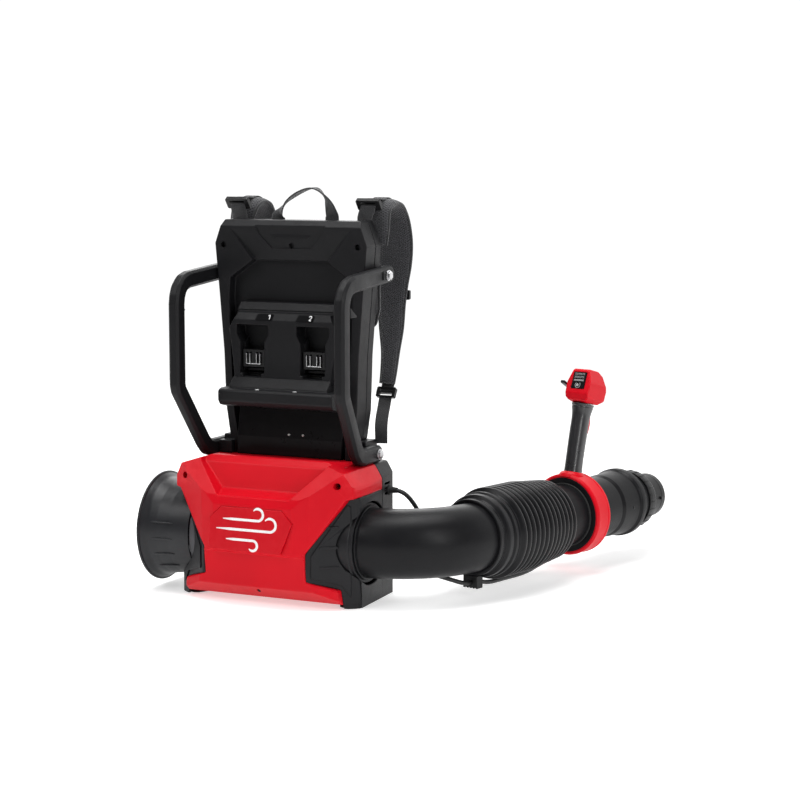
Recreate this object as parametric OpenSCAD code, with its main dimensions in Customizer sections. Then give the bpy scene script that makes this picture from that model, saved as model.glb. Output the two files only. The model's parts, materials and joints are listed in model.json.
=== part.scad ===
// Backpack leaf blower: a fan housing that stands on the ground, a carrying frame with two
// battery bays, a padded harness, and a jointed blower tube with a control handle.
// X points to the wearer's right, Y to the wearer's front, Z up. Millimetres.

/* [Housing] */
// Half width of the fan housing at its sides
housing_half_w = 160; // [156:1:164]
// Height of the fan housing at its top edge
housing_h = 233; // [231:1:235]
// Parting plane between the rear and the front shell
parting_y = 0; // [-4:1:4]
// Wall thickness of the housing shells
wall = 4; // [3:0.5:5]

/* [Fan] */
// Height of the fan's axis above the ground
fan_z = 98; // [97:1:99]
// Inner radius of the duct around the fan rotor
fan_r = 70; // [68:1:71]
// Gap between the blade tips and the duct
tip_gap = 1; // [0.6:0.1:2]
// Number of rotor blades
blade_count = 9; // [5:1:11]
// Number of stator vanes
vane_count = 7; // [5:1:9]
// Radius of the motor shaft
shaft_r = 4; // [3:0.5:5]

/* [Intake] */
// Radius of the intake bell at its rim
bell_rim_r = 87; // [85:1:89]
// Distance of the bell's rim from the middle of the machine
bell_rim_x = 222; // [218:1:226]

/* [Tube] */
// Outer radius of the elbow tube
elbow_r = 56; // [55:0.5:57]
// Radius of the elbow's centre line
elbow_bend_r = 140; // [138:1:142]
// Angle that the elbow turns through
elbow_angle = 76; // [74:1:78]
// Wall thickness of the tubes
tube_wall = 2.5; // [2:0.5:3]
// Number of folds in the bellows
fold_count = 13; // [11:1:14]
// Outer radius of the bellows folds
fold_r = 76; // [74:1:77]
// Outer radius of the straight tube
tube_r = 52; // [51:0.5:52]
// Outer radius of the nozzle spigot
spigot_r = 39; // [37:0.5:40]

/* [Handle] */
// Lean of the grip towards the nozzle
grip_lean = 14; // [10:1:18]
// Outer radius of the clamp ring
ring_r = 70; // [69:0.5:71]
// Width of the grip across the hand
grip_w = 29; // [27:1:30]

/* [Frame] */
// Height of the carrying frame's top edge
frame_top = 606; // [600:1:612]
// Depth of the carrying frame's rear face behind the fan's middle
frame_rear_y = -14; // [-16:1:-12]
// Height of the frame's foot on the housing
frame_foot = 252; // [250:1:254]
// Distance between the middles of the two battery bays
bay_pitch = 110; // [106:1:112]
// Width of one battery bay
bay_w = 44; // [42:1:46]

/* [Guard bars] */
// Distance of each bar from the middle of the machine
bar_x = 147.5; // [147:0.5:149]
// Width of a bar
bar_w = 19; // [17:1:20]
// Thickness of a bar in side view
bar_t = 27; // [25:1:28]

/* [Harness] */
// Distance of each shoulder strap from the middle
strap_x = 120; // [118:1:122]
// Width of the shoulder pads
strap_w = 59; // [55:1:60]
// Thickness of the shoulder pads
strap_t = 15; // [13:1:17]
// Width of the webbing
web_w = 26; // [24:1:28]

/* [Hidden] */
$fn = 64;
fan_y = -45;
outlet_x = 150;
running = 0.06;              // radial clearance of parts that turn in each other
end_step = 0.4;              // how much thicker the elbow is where other parts fit on it
duct_wall = 3;
rotor_hub_r = 30;
rotor_x0 = -112;
rotor_x1 = -78;
stator_x0 = -70;
stator_x1 = 60;
elbow_end = [outlet_x + elbow_bend_r * sin(elbow_angle),
             fan_y + elbow_bend_r * (1 - cos(elbow_angle)), fan_z];
fold_pitch = 12.6;
cuff_len = 46;
bellows_len = cuff_len + fold_count * fold_pitch + 10;
ring_s = 288;                // middle of the clamp ring along the tube
ring_w = 40;
grip_h0 = 60;
grip_h1 = 187.4;
head_h = 56;
lock_z = 632;
frame_split_y = 20;          // parting plane of the frame's two shells
frame_front_y = 40;
housing_top = 223;           // height of the housing's top under the frame
bay_floor_y = -12;
block_d = 24;                // depth of the contact blocks
bar_bolt_y = [24];
leg_lean = 5.2;
foot_x = 138.5;              // middle of a guard bar's foot
foot_z = 232;
foot_bolt_y = 12;

// ---------- helpers ----------

// Outline drawn in X and Z, as thick as y0 to y1
module xz(y0, y1) {
    translate([0, y1, 0]) rotate([90, 0, 0]) linear_extrude(y1 - y0) children();
}

// Outline drawn in Y and Z, as thick as x0 to x1
module yz(x0, x1) {
    translate([x0, 0, 0]) rotate([90, 0, 90]) linear_extrude(x1 - x0) children();
}

// Outline drawn in X and Y, as thick as z0 to z1
module xy(z0, z1) {
    translate([0, 0, z0]) linear_extrude(z1 - z0) children();
}

// Both the part and its mirror image across the machine's middle plane
module both() {
    children();
    mirror([1, 0, 0]) children();
}

// Profile of radius and length, turned about the fan's axis
module on_fan_axis() {
    translate([0, fan_y, fan_z]) rotate([0, 90, 0]) children();
}

// Frame at distance s beyond the elbow's end: local X along the tube, Z up
module at_tube(s) {
    translate(elbow_end) rotate([0, 0, elbow_angle]) translate([s, 0, 0]) children();
}

// Profile of radius and length, turned about the tube's axis
module on_tube_axis(s) {
    at_tube(s) rotate([0, 90, 0]) children();
}

// Frame of the handle: local Z along the grip, local X towards the nozzle
module at_handle() {
    at_tube(ring_s - 12) translate([0, 0, 4]) rotate([0, grip_lean, 0]) children();
}

// Frame of the clamp's ears, which point down in it and to the left on the machine
module at_ears() {
    at_tube(ring_s) rotate([90, 0, 0]) children();
}

// Ring of inner radius a and outer radius b between lengths h0 and h1
module ring(a, b, h0, h1) {
    rotate_extrude($fn = 96) translate([a, h0]) square([b - a, h1 - h0]);
}

// Polygon symmetric about the vertical axis, from its right-hand points
module mirrored_outline(p) {
    polygon(concat(p, [for (i = [len(p) - 1:-1:0]) [-p[i][0], p[i][1]]]));
}

// Line of constant thickness with mitred corners, in two dimensions
function left_of(v) = unit([-v[1], v[0]]);
function mitre(p, i, h) = let (k = max(i, 1), j = min(i, len(p) - 2),
    a = left_of(p[k] - p[k - 1]), b = left_of(p[j + 1] - p[j]))
    p[i] + (a + b) * h / (1 + a * b);

module stroke(p, t) {
    polygon(concat([for (i = [0:len(p) - 1]) mitre(p, i, t / 2)],
        [for (i = [len(p) - 1:-1:0]) mitre(p, i, -t / 2)]));
}

function unit(v) = v / norm(v);

function tangent(p, i) = unit(p[min(i + 1, len(p) - 1)] - p[max(i - 1, 0)]);

// Triangles of a swept skin with n rings of k points and flat ends
function sweep_faces(n, k) = concat(
    [[for (j = [k - 1:-1:0]) j]],
    [for (i = [0:n - 2], j = [0:k - 1], half = [0, 1])
        let (a = i * k + j, b = i * k + (j + 1) % k, c = b + k, d = a + k)
        half == 0 ? [a, b, c] : [a, c, d]],
    [[for (j = [0:k - 1]) (n - 1) * k + j]]);

// Flat band with round edges along points p, as wide as w[i] along direction across[i]
module band(p, w, t, across) {
    n = len(p);
    k = 8;
    points = [for (i = [0:n - 1])
        let (a = unit(across[i] - (across[i] * tangent(p, i)) * tangent(p, i)),
             b = cross(tangent(p, i), a), h = w[i] / 2, c = t / 2, r = t * 0.3)
        for (q = [[h, c - r], [h - r, c], [r - h, c], [-h, c - r],
                  [-h, r - c], [r - h, -c], [h - r, -c], [h, r - c]])
            p[i] + a * q[0] + b * q[1]];
    polyhedron(points, sweep_faces(n, k));
}

// Round cable of radius r along points p
module cable(p, r) {
    n = len(p);
    k = 8;
    points = [for (i = [0:n - 1])
        let (t = tangent(p, i), a = unit(cross(t, [0.31, 0.2, 0.93])), b = cross(t, a))
        for (j = [0:k - 1]) p[i] + r * (a * cos(360 * j / k) + b * sin(360 * j / k))];
    polyhedron(points, sweep_faces(n, k));
}

// ---------- fan housing ----------

module housing_rear_outline() {
    mirrored_outline([[0, 8], [100, 8], [146, 0], [163, 0], [161, 192], [146, 217],
        [112, 228], [94, housing_h], [0, housing_h]]);
}

module housing_plan_outline() {
    mirrored_outline([[70, -147], [95, -140], [housing_half_w, -108],
        [housing_half_w + 3, -84], [housing_half_w - 4, 46], [0, 46]]);
}

// Plan of the black cheeks, moved outwards by grow; they lie deeper than the rear shell
module cheek_plan_outline(grow = 0) {
    mirrored_outline([[70, -147 - grow], [95, -139 - grow],
        [housing_half_w - 2 + grow / 2, -92 - grow * 0.75],
        [housing_half_w + 3 + grow / 2, -84 - grow / 2], [housing_half_w - 4 + grow, 46], [0, 46]]);
}

module housing_side_outline() {
    polygon([[-122, 0], [-136, 30], [-142, 84], [-152, 90], [-147, 162], [-143, 176],
        [-104, housing_h], [-26, housing_top], [46, housing_top], [46, 0]]);
}

module housing_body() {
    intersection() {
        xz(-160, 50) housing_rear_outline();
        xy(-1, 240) housing_plan_outline();
        yz(-170, 170) housing_side_outline();
    }
}

module housing_cavity() {
    intersection() {
        xz(-140, 40) mirrored_outline([[0, 8 + wall], [138, 8 + wall], [154, 24], [154, 188],
            [142, 206], [92, housing_top - wall], [0, housing_top - wall]]);
        xy(0, 240) mirrored_outline([[66, -130], [91, -130], [housing_half_w - 6, -86],
            [housing_half_w - 6, 40], [0, 40]]);
        yz(-170, 170) polygon([[-92, 0], [-128, 28], [-130, 164], [-105, 172],
            [-86, housing_top - wall], [40, housing_top - wall], [40, 0]]);
    }
}

// Floor plate that the machine stands on, under both shells
module floor_plate(grow = 0) {
    xy(-grow, 8 + grow) offset(delta = grow) mirrored_outline([[0, -60], [112, -60], [128, -92],
        [138, -96], [161, -88], [156, 46], [0, 46]]);
}

// Where the feet of the guard bars stand on the housing, on the right-hand side
module bar_foot_seat() {
    translate([foot_x - bar_w / 2 - 0.2, -80, foot_z - bar_t / 2 - 0.1]) cube([60, 130, 60]);
}

// Corner region of the rear shell that the black cheeks fill, on the right-hand side
module cheek_region(grow = 0) {
    xz(-170, parting_y) polygon([[91 - grow, 90 + grow], [91 - grow, 46 - grow],
        [137, 31 - grow], [141 - grow, -1], [200, -1], [200, 182 + grow], [150, 176 + grow]]);
}

module rear_half() {
    translate([-200, -200, -10]) cube([400, 200 + parting_y, 400]);
}

module top_recess() {
    yz(-200, 200) polygon([[-170, 174], [-138, 174], [-113, 181], [-98, 221],
        [-82, housing_h + 1], [-82, 260], [-170, 260]]);
}

module rear_housing() {
    color("crimson") difference() {
        intersection() {
            housing_body();
            rear_half();
        }
        housing_cavity();
        both() cheek_region();
        intersection() {
            top_recess();
            xz(-200, 0) mirrored_outline([[64, 174], [111, 221], [118, 236], [118, 260], [0, 260]]);
        }
        floor_plate(0.1);
        // Chin that runs back under the front, between the feet
        yz(-142, 142) polygon([[-180, -2], [-136, 30], [-108, 8], [-40, 8], [-40, -2]]);
        both() bar_foot_seat();
        for (x = [-137, 137]) translate([x, -70, 198]) rotate([90, 0, 0]) cylinder(h = 90, r = 3.2);
        for (x = [-137, 137]) translate([x, -99, 198]) rotate([90, 0, 0]) cylinder(h = 40, r = 5.5);
        translate([0, -100, 22]) rotate([90, 0, 0]) cylinder(h = 60, r = 3.2);
        xz(-160, -145) badge_outline(0.2);
    }
}

module badge_outline(grow) {
    polygon([[-75 - grow, 89 - grow], [53 + grow, 89 - grow], [73 + grow, 138],
        [54, 158 + grow], [-54, 158 + grow], [-75 - grow, 140]]);
}

module badge_plate() {
    color("firebrick") intersection() {
        xz(-160, -145) badge_outline(0);
        yz(-90, 90) polygon([[-145, 80], [-152.5, 80], [-152.5, 90], [-147.8, 162], [-145, 162]]);
    }
}

module outlet_cheek() {
    color([0.13, 0.13, 0.14]) difference() {
        union() {
            cheek_body();
            for (z = [66, 98, 130]) cheek_rib(z);
        }
        housing_cavity();
        floor_plate(0.1);
        on_fan_axis() translate([0, 0, 100]) cylinder(h = 80, r = 67);
    }
}

// Solid corner piece, before its openings are cut, on the right-hand side
module cheek_body() {
    intersection() {
        housing_body();
        rear_half();
        cheek_region();
        xy(-1, 240) cheek_plan_outline();
    }
}

// Raised rib on the sloping face of the outlet cheek
module cheek_rib(z) {
    intersection() {
        translate([112, -130, z]) rotate([0, 0, 38]) cube([30, 14, 4]);
        cheek_region();
        difference() {
            xy(-1, 240) cheek_plan_outline(2);
            xy(-2, 241) cheek_plan_outline();
        }
    }
}

module intake_cheek() {
    color([0.13, 0.13, 0.14]) difference() {
        mirror([1, 0, 0]) cheek_body();
        housing_cavity();
        floor_plate(0.1);
        on_fan_axis() translate([0, 0, -180]) cylinder(h = 80, r = 78);
    }
}

module base_shell() {
    color([0.12, 0.12, 0.13]) {
        difference() {
            union() {
                difference() {
                    housing_body();
                    rear_half();
                }
                floor_plate();
                // Saddle that carries the frame's foot
                intersection() {
                    xz(parting_y, 46) mirrored_outline([[0, 216], [128.8, 216],
                        [128.8, frame_foot], [0, frame_foot]]);
                    yz(-170, 170) polygon([[0, 214], [46, 214], [42, frame_foot],
                        [0, frame_foot]]);
                }
            }
            both() bar_foot_seat();
            both() translate([110, foot_bolt_y, foot_z]) rotate([0, 90, 0])
                cylinder(h = 40, r = 3.1);
            // Hole for the control cable's strain relief
            translate([145, 30, 172]) rotate([0, 90, 0]) cylinder(h = 20, r = 7.1);
            housing_cavity();
            translate([0, 0, -9]) housing_cavity();
            on_fan_axis() translate([0, 0, 140]) cylinder(h = 40, r = 67);
            on_fan_axis() translate([0, 0, -180]) cylinder(h = 40, r = 78);
            for (x = [-137, 137], y = [-84, 24]) translate([x, y, -1]) cylinder(h = 4, r = 9.2);
            for (z = [166, 174, 182]) translate([140, 12, z]) cube([40, 20, 4]);
        }
    }
}

module foot_pads() {
    color([0.08, 0.08, 0.08]) for (x = [-137, 137], y = [-84, 24])
        translate([x, y, 0]) cylinder(h = 3, r = 9);
}

module intake_bell() {
    color([0.14, 0.14, 0.15]) {
        on_fan_axis() rotate_extrude($fn = 96) polygon([
            [bell_rim_r, -bell_rim_x], [bell_rim_r + 2, -bell_rim_x + 3],
            [82, -208], [77.5, -192], [75.5, -172], [75.5, -132],
            [73, -132], [73, -172], [75, -192], [79.5, -209], [bell_rim_r - 2, -bell_rim_x + 2]]);
        for (a = [-8, 12, 32]) translate([0, fan_y, fan_z]) rotate([a, 0, 0])
            translate([-200, -80, -1.2]) cube([38, 4.2, 2.4]);
    }
}

module intake_screen() {
    color([0.1, 0.1, 0.1]) on_fan_axis() translate([0, 0, -186]) {
        for (r = [18, 34, 50]) ring(r, r + 2.4, 0, 3);
        ring(66, 72.8, 0, 3);
        for (a = [0:30:150]) rotate(a) translate([-68, -1.3, 0]) cube([136, 2.6, 3]);
        cylinder(h = 3, r = 8);
    }
}

// ---------- fan and motor ----------

module fan_duct() {
    color([0.2, 0.2, 0.21]) on_fan_axis() rotate_extrude($fn = 96) polygon([
        [fan_r, -131.8], [fan_r + duct_wall, -131.8], [fan_r + duct_wall, -40],
        [66 + duct_wall, 20], [59 + duct_wall, 100], [59 + duct_wall, 128], [59, 128],
        [59, 100], [66, 20], [fan_r, -40]]);
}

module motor_pod() {
    color([0.18, 0.18, 0.19]) on_fan_axis() {
        difference() {
            rotate_extrude($fn = 64) polygon([[0, stator_x0], [32, stator_x0], [32, 20],
                [24, 50], [10, 72], [0, 76]]);
            translate([0, 0, stator_x0 - 1]) cylinder(h = 4.1, r = 9);
            translate([0, 0, stator_x0 + 3]) cylinder(h = 68, r = 26);
            translate([0, 0, 0.9]) cylinder(h = 5.2, r = 9);
            translate([0, 0, 6]) cylinder(h = 6, r = 6);
        }
        for (i = [0:vane_count - 1]) rotate(i * 360 / vane_count)
            translate([31.5, -1.2, stator_x0 + 6]) cube([36.5, 2.4, 42]);
    }
}

module motor_stator() {
    color("peru") on_fan_axis() difference() {
        translate([0, 0, -60]) cylinder(h = 50, r = 25.8);
        translate([0, 0, -61]) cylinder(h = 52, r = 15.5);
        for (a = [0:60:300]) rotate(a + 30) translate([19, 0, -61]) cylinder(h = 52, r = 2.6);
    }
}

module motor_bearings() {
    color("silver") on_fan_axis() {
        ring(shaft_r + 0.03, 9, stator_x0 - 1, stator_x0 + 3);
        ring(shaft_r + 0.03, 9, 1, 6);
    }
}

module motor_shaft() {
    color("gainsboro") on_fan_axis() translate([0, 0, rotor_x0 + 2]) cylinder(h = 120, r = shaft_r);
}

module motor_rotor() {
    color("dimgray") on_fan_axis() ring(shaft_r, 15, -58, -12);
}

module fan_rotor() {
    color([0.25, 0.25, 0.27]) on_fan_axis() {
        difference() {
            rotate_extrude($fn = 64) polygon([[0, rotor_x0 - 24], [14, rotor_x0 - 19],
                [25, rotor_x0 - 7], [rotor_hub_r, rotor_x0 + 8], [rotor_hub_r, rotor_x1],
                [0, rotor_x1]]);
            translate([0, 0, rotor_x0 + 2]) cylinder(h = 60, r = shaft_r);
            difference() {
                translate([0, 0, rotor_x0 + 12]) cylinder(h = 60, r = rotor_hub_r - 4);
                translate([0, 0, rotor_x0]) cylinder(h = 70, r = 10);
            }
        }
        intersection() {
            ring(rotor_hub_r - 1, fan_r - tip_gap, rotor_x0 - 2, rotor_x1 + 2);
            for (i = [0:blade_count - 1]) rotate(i * 360 / blade_count)
                translate([0, 0, (rotor_x0 + rotor_x1) / 2]) rotate([38, 0, 0])
                translate([20, -1.2, -30]) cube([60, 2.4, 60]);
        }
    }
}

module outlet_collar() {
    color([0.1, 0.1, 0.1]) on_fan_axis() difference() {
        union() {
            ring(elbow_r + end_step + running, 66.5, 128.2, 151.5);
            ring(elbow_r + end_step + running, 64, 151.5, 157);
        }
        for (a = [45:90:315]) rotate(a) translate([62.5, 0, 146]) cylinder(h = 8, r = 1.6);
    }
}

// ---------- carrying frame ----------

module frame_outline() {
    mirrored_outline([[0, frame_foot], [113, frame_foot], [120, 300], [123, 390], [131, 490],
        [138, 567], [124, frame_top], [0, frame_top]]);
}

// Inside of the frame's two shells
module frame_inner_outline() {
    mirrored_outline([[0, frame_foot + 8], [104, frame_foot + 8], [112, 300], [116, 390],
        [124, 490], [129, 560], [118, frame_top - 6], [0, frame_top - 6]]);
}

// Bores for the bolts that hold the guard bars, on both sides
module bar_bolt_bores(x) {
    both() for (y = bar_bolt_y) translate([x, y, arm_z(y)]) rotate([0, 90, 0])
        cylinder(h = 60, r = 3.1);
}

module frame_rear_shell() {
    color([0.11, 0.11, 0.12]) difference() {
        union() {
            intersection() {
                xz(frame_rear_y, frame_split_y) frame_outline();
                yz(-150, 150) polygon([[frame_rear_y, 0], [frame_rear_y, frame_top - 10],
                    [frame_rear_y + 9, frame_top], [30, frame_top], [30, 0]]);
            }
            // Feet on the housing's top, and the ledges beside them
            both() {
                translate([98.2, frame_rear_y, housing_top + 0.4]) cube([26, 13.8, 30]);
                translate([104, -25.8, housing_top + 0.4]) cube([24.4, 25.6, 21]);
            }
        }
        // Hollow at the front, with the screw bosses left standing
        difference() {
            xz(8, frame_split_y + 1) frame_inner_outline();
            for (x = [-122, 0, 122]) translate([x, 16, 565]) rotate([90, 0, 0])
                cylinder(h = 12, r = 7);
        }
        // Sloping panel under the top edge
        intersection() {
            yz(-150, 150) polygon([[frame_rear_y - 1, 594], [frame_rear_y, 594], [-5, 541],
                [-5, 500], [frame_rear_y - 1, 500]]);
            xz(-20, 8) mirrored_outline([[68, 541], [112, 596], [0, 596]]);
        }
        // Deep bay under it
        xz(frame_rear_y - 1, 4) mirrored_outline([[0, frame_foot - 1], [98, frame_foot - 1],
            [106, 300], [112, 480], [110, 512], [68, 541], [0, 541]]);
        for (x = [-122, 122]) translate([x, 11, 565]) rotate([90, 0, 0]) {
            cylinder(h = 40, r = 2.6);
            translate([0, 0, 15]) cylinder(h = 20, r = 5);
        }
        translate([0, 11, 565]) rotate([90, 0, 0]) {
            cylinder(h = 40, r = 2.6);
            translate([0, 0, 10]) cylinder(h = 20, r = 5);
        }
        bar_bolt_bores(118);
    }
}

module frame_front_shell() {
    color([0.1, 0.1, 0.11]) difference() {
        intersection() {
            xz(frame_split_y, frame_front_y) frame_outline();
            yz(-150, 150) polygon([[frame_split_y, 0], [frame_split_y, frame_top],
                [32, frame_top], [frame_front_y, frame_top - 8], [frame_front_y, 0]]);
        }
        xz(frame_split_y - 1, frame_front_y - 4) frame_inner_outline();
        bar_bolt_bores(118);
    }
}

module control_board() {
    color("darkgreen") {
        translate([-70, 11, 330]) cube([140, 2, 120]);
        for (x = [-50, -20, 20]) translate([x, 13, 350]) cube([22, 7, 30]);
    }
}

module bay_cover() {
    color([0.12, 0.12, 0.13]) difference() {
        intersection() {
            xz(-70, 3.8) mirrored_outline([[0, 345], [87, 345], [87, 354], [97.5, 432], [84, 456],
                [92, 460], [90, 473], [0, 473]]);
            yz(-120, 120) polygon([[3.8, 340], [-44, 340], [-44, 354], [-41, 380], [-41, 446],
                [-35, 457], [-22, 459], [-22, 462], [-12, 474], [3.8, 474]]);
        }
        // Two battery bays, open at the rear
        for (s = [-1, 1]) translate([s * bay_pitch / 2, 0, 0]) {
            xz(-80, bay_floor_y) polygon([[-bay_w / 2, 359], [bay_w / 2, 359], [bay_w / 2, 410],
                [bay_w / 2 + 7, 423], [bay_w / 2 + 7, 438], [-bay_w / 2 - 7, 438],
                [-bay_w / 2 - 7, 423], [-bay_w / 2, 410]]);
            translate([-bay_w / 2 + 5, -80, 354]) cube([bay_w - 10, 58, 12]);
        }
    }
}

terminal_x = [-12.4, -6, 6, 12.4];

module terminal_blocks() {
    color([0.07, 0.07, 0.07]) for (s = [-1, 1]) translate([s * bay_pitch / 2, 0, 0])
        difference() {
            translate([-19.5, bay_floor_y - block_d, 369]) cube([39, block_d - 0.2, 28]);
            for (x = terminal_x) translate([x - 2, bay_floor_y - block_d - 2, 373])
                cube([4, 10, 20]);
        }
}

module terminal_blades() {
    color("silver") for (s = [-1, 1], x = terminal_x)
        translate([s * bay_pitch / 2 + x - 0.6, bay_floor_y - block_d - 3, 375])
        cube([1.2, 11, 16]);
}

module battery_shelf() {
    color([0.13, 0.13, 0.14]) difference() {
        union() {
            yz(-103.5, 103.5) polygon([[-14.2, 305], [-14.2, 336], [-60, 336], [-67, 334],
                [-70, 331], [-70, 316], [-65, 309], [-50, 305]]);
            yz(-89, 89) polygon([[-14.2, 330], [-14.2, 344.8], [-44.2, 344.8], [-44.2, 353.8],
                [-58, 339], [-60, 330]]);
            yz(-96, 96) polygon([[3.8, 305], [3.8, 340], [-15, 340], [-15, 305]]);
        }
        both() for (i = [0:4]) translate([32 + i * 9.4, -60, 300]) cube([5, 40, 12]);
    }
}

lamp_x = [-0.4, 25.1];

module lower_panel() {
    color([0.09, 0.08, 0.08]) difference() {
        yz(-96, 96) polygon([[3.8, 253], [3.8, 304.6], [-10, 304.6], [-20, 253],
            [-22, housing_top + 0.2], [-0.2, housing_top + 0.2], [-0.2, 253]]);
        for (x = lamp_x) translate([x, 5, 259]) rotate([90, 0, 0]) cylinder(h = 40, r = 2.1);
    }
}

module indicator_lamps() {
    color("lightgray") for (x = lamp_x) translate([x, -12, 259]) rotate([90, 0, 0])
        cylinder(h = 9, r = 2);
}

// ---------- guard bars ----------

// Height of the bar's top arm at distance y from the fan's middle plane
function arm_z(y) = 521.5 - (46 - y) * 0.0746;

module guard_bar() {
    difference() {
        union() {
            yz(bar_x - bar_w / 2, bar_x + bar_w / 2) stroke([[46, arm_z(46)], [-88, arm_z(-88)],
                [-104, 507], [-114.5, 497], [-119.5, 486], [-121.5, 474], [-121.5, 345],
                [-119, 336], [-108, 319.6]], bar_t);
            // Lower leg, which leans inwards a little
            translate([bar_x, 0, 336]) rotate([0, leg_lean, 0])
                yz(-bar_w / 2, bar_w / 2) stroke([[-119.7, 1], [-58, -91.4]], bar_t);
            yz(foot_x - bar_w / 2, foot_x + bar_w / 2) stroke([[-64, 253], [-54, 240],
                [-42, foot_z], [22, foot_z]], bar_t);
            // Spacers between the arm and the frame
            for (y = bar_bolt_y) translate([134.8, y, arm_z(y)]) rotate([0, 90, 0])
                cylinder(h = bar_x - 134.8, r = 9);
        }
        for (y = bar_bolt_y) translate([bar_x - 30, y, arm_z(y)]) rotate([0, 90, 0])
            cylinder(h = 60, r = 3.1);
        translate([foot_x - 30, foot_bolt_y, foot_z]) rotate([0, 90, 0]) cylinder(h = 60, r = 3.1);
    }
}

module guard_bar_right() {
    color([0.13, 0.13, 0.14]) guard_bar();
}

module guard_bar_left() {
    color([0.13, 0.13, 0.14]) mirror([1, 0, 0]) guard_bar();
}

// Bolt along X from x0, under a hexagonal head whose underside is at x1
module bolt(x0, x1) {
    rotate([0, 90, 0]) {
        translate([0, 0, x0]) cylinder(h = x1 - x0, r = 3);
        translate([0, 0, x1]) cylinder(h = 5, r = 7, $fn = 6);
    }
}

module bar_bolts() {
    color("silver") both() {
        for (y = bar_bolt_y) translate([0, y, arm_z(y)]) bolt(127, bar_x + bar_w / 2);
        translate([0, foot_bolt_y, foot_z]) bolt(115, foot_x + bar_w / 2);
    }
}

module case_screws() {
    color("dimgray") {
        for (x = [-122, 122]) translate([x, 9, 565]) rotate([90, 0, 0]) {
            cylinder(h = 15, r = 2.5);
            translate([0, 0, 13]) cylinder(h = 3, r = 4.6);
        }
        translate([0, 9, 565]) rotate([90, 0, 0]) {
            cylinder(h = 10, r = 2.5);
            translate([0, 0, 8]) cylinder(h = 3, r = 4.6);
        }
        for (x = [-137, 137]) translate([x, -72, 198]) rotate([90, 0, 0]) {
            cylinder(h = 29, r = 3);
            translate([0, 0, 27]) cylinder(h = 4, r = 5.2);
        }
        translate([0, -108, 22]) rotate([90, 0, 0]) cylinder(h = 15, r = 3);
    }
}

// ---------- harness ----------

module back_pad() {
    color([0.16, 0.16, 0.17]) translate([0, 40.2, 0]) difference() {
        xz(0, 20) mirrored_outline([[0, 330], [84, 330], [96, 352], [99, 418], [127, 436],
            [133, 462], [133, 536], [122, 552], [100, 556], [92, 590], [0, 590]]);
        translate([-7, 12, 320]) cube([14, 20, 290]);
    }
}

module lumbar_pad() {
    color([0.16, 0.16, 0.17]) translate([0, 46.2, 0])
        xz(0, 26) mirrored_outline([[0, 96], [96, 96], [116, 118], [116, 206], [96, 224],
            [0, 224]]);
}

// Middle line of the right shoulder pad, from its rear end over the shoulder to its lower end
strap_path = [[124, 50.8, 566], [124, 51, 590], [123, 53, 608], [121, 59, 624],
    [120, 76, 633], [120, 96, 629], [121, 111, 613], [122, 120, 591], [122, 126, 565],
    [120, 129, 535], [116, 129.5, 500], [115, 128, 465], [117, 123, 425], [119, 115, 388],
    [120, 106, 356], [120, 99.6, 336]];
strap_widths = [36, 42, 45, 49, 54, 57, 58, strap_w, strap_w, 57, 52, 46, 40, 30, 26, 24];

module shoulder_strap() {
    band(strap_path, strap_widths, strap_t, [for (p = strap_path) [1, 0.12, 0]]);
}

module shoulder_strap_right() {
    color([0.2, 0.2, 0.22]) shoulder_strap();
}

module shoulder_strap_left() {
    color([0.2, 0.2, 0.22]) mirror([1, 0, 0]) shoulder_strap();
}

module top_webbing() {
    p = [[114, 29, 607], [114, 29, 610], [115.5, 29.2, 616], [117.6, 29.6, 621], [119, 30, 625]];
    color([0.1, 0.1, 0.1]) both() band(p, [for (q = p) web_w], 2.4, [for (q = p) [1, 0, 0]]);
}

module ladder_locks() {
    color([0.08, 0.08, 0.08]) both() translate([strap_x, 33, lock_z]) rotate([38, 0, 0])
        difference() {
            translate([-21, -3.5, -10]) cube([42, 7, 20]);
            for (z = [-6.5, 2.5]) translate([-web_w / 2 - 0.6, -5, z])
                cube([web_w + 1.2, 10, 4]);
        }
}

module lower_webbing() {
    p = [[121.4, 88.6, 310], [123, 80, 298], [126, 68, 286], [130, 56, 273], [133, 49.6, 260],
        [134, 47.6, 244]];
    color([0.1, 0.1, 0.1]) both() band(p, [for (q = p) web_w - 4], 2.4,
        [for (i = [0:5]) [1, 0.15 - 0.03 * i, 0]]);
}

module lower_buckles() {
    color([0.08, 0.08, 0.08]) both() translate([121, 95, 321.6]) rotate([-30, 0, 0])
        difference() {
            translate([-17, -3.5, -9]) cube([34, 7, 18]);
            for (z = [-6, 2]) translate([-12, -5, z]) cube([24, 10, 4]);
        }
}

module grab_handle() {
    p = [[-42, 28, 606.4], [-42, 28, 611], [-38, 28, 619], [-27, 28, 634], [-9, 28.5, 647],
        [12, 29, 656], [27, 29, 656], [41, 28.5, 645], [50, 28, 630], [55, 28, 616],
        [56, 28, 611], [56, 28, 606.4]];
    color([0.1, 0.1, 0.1]) band(p, [for (q = p) web_w - 2], 2.2,
        [[1, 0, 0], [1, 0, 0], [0.7, -0.6, 0], [0.3, -0.9, 0], [0, -1, 0], [0, -1, 0],
         [0.1, -1, 0], [0.5, -0.85, 0], [0.85, -0.5, 0], [1, -0.2, 0], [1, 0, 0], [1, 0, 0]]);
}

module chest_clips() {
    color([0.08, 0.08, 0.08]) both() translate([126, 141.6, 480]) rotate([0, 0, 6.8])
        difference() {
            translate([-16, -3, -8]) cube([32, 7, 16]);
            translate([-10, -4, -3]) cube([20, 9, 6]);
        }
}

// ---------- control cable ----------

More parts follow.
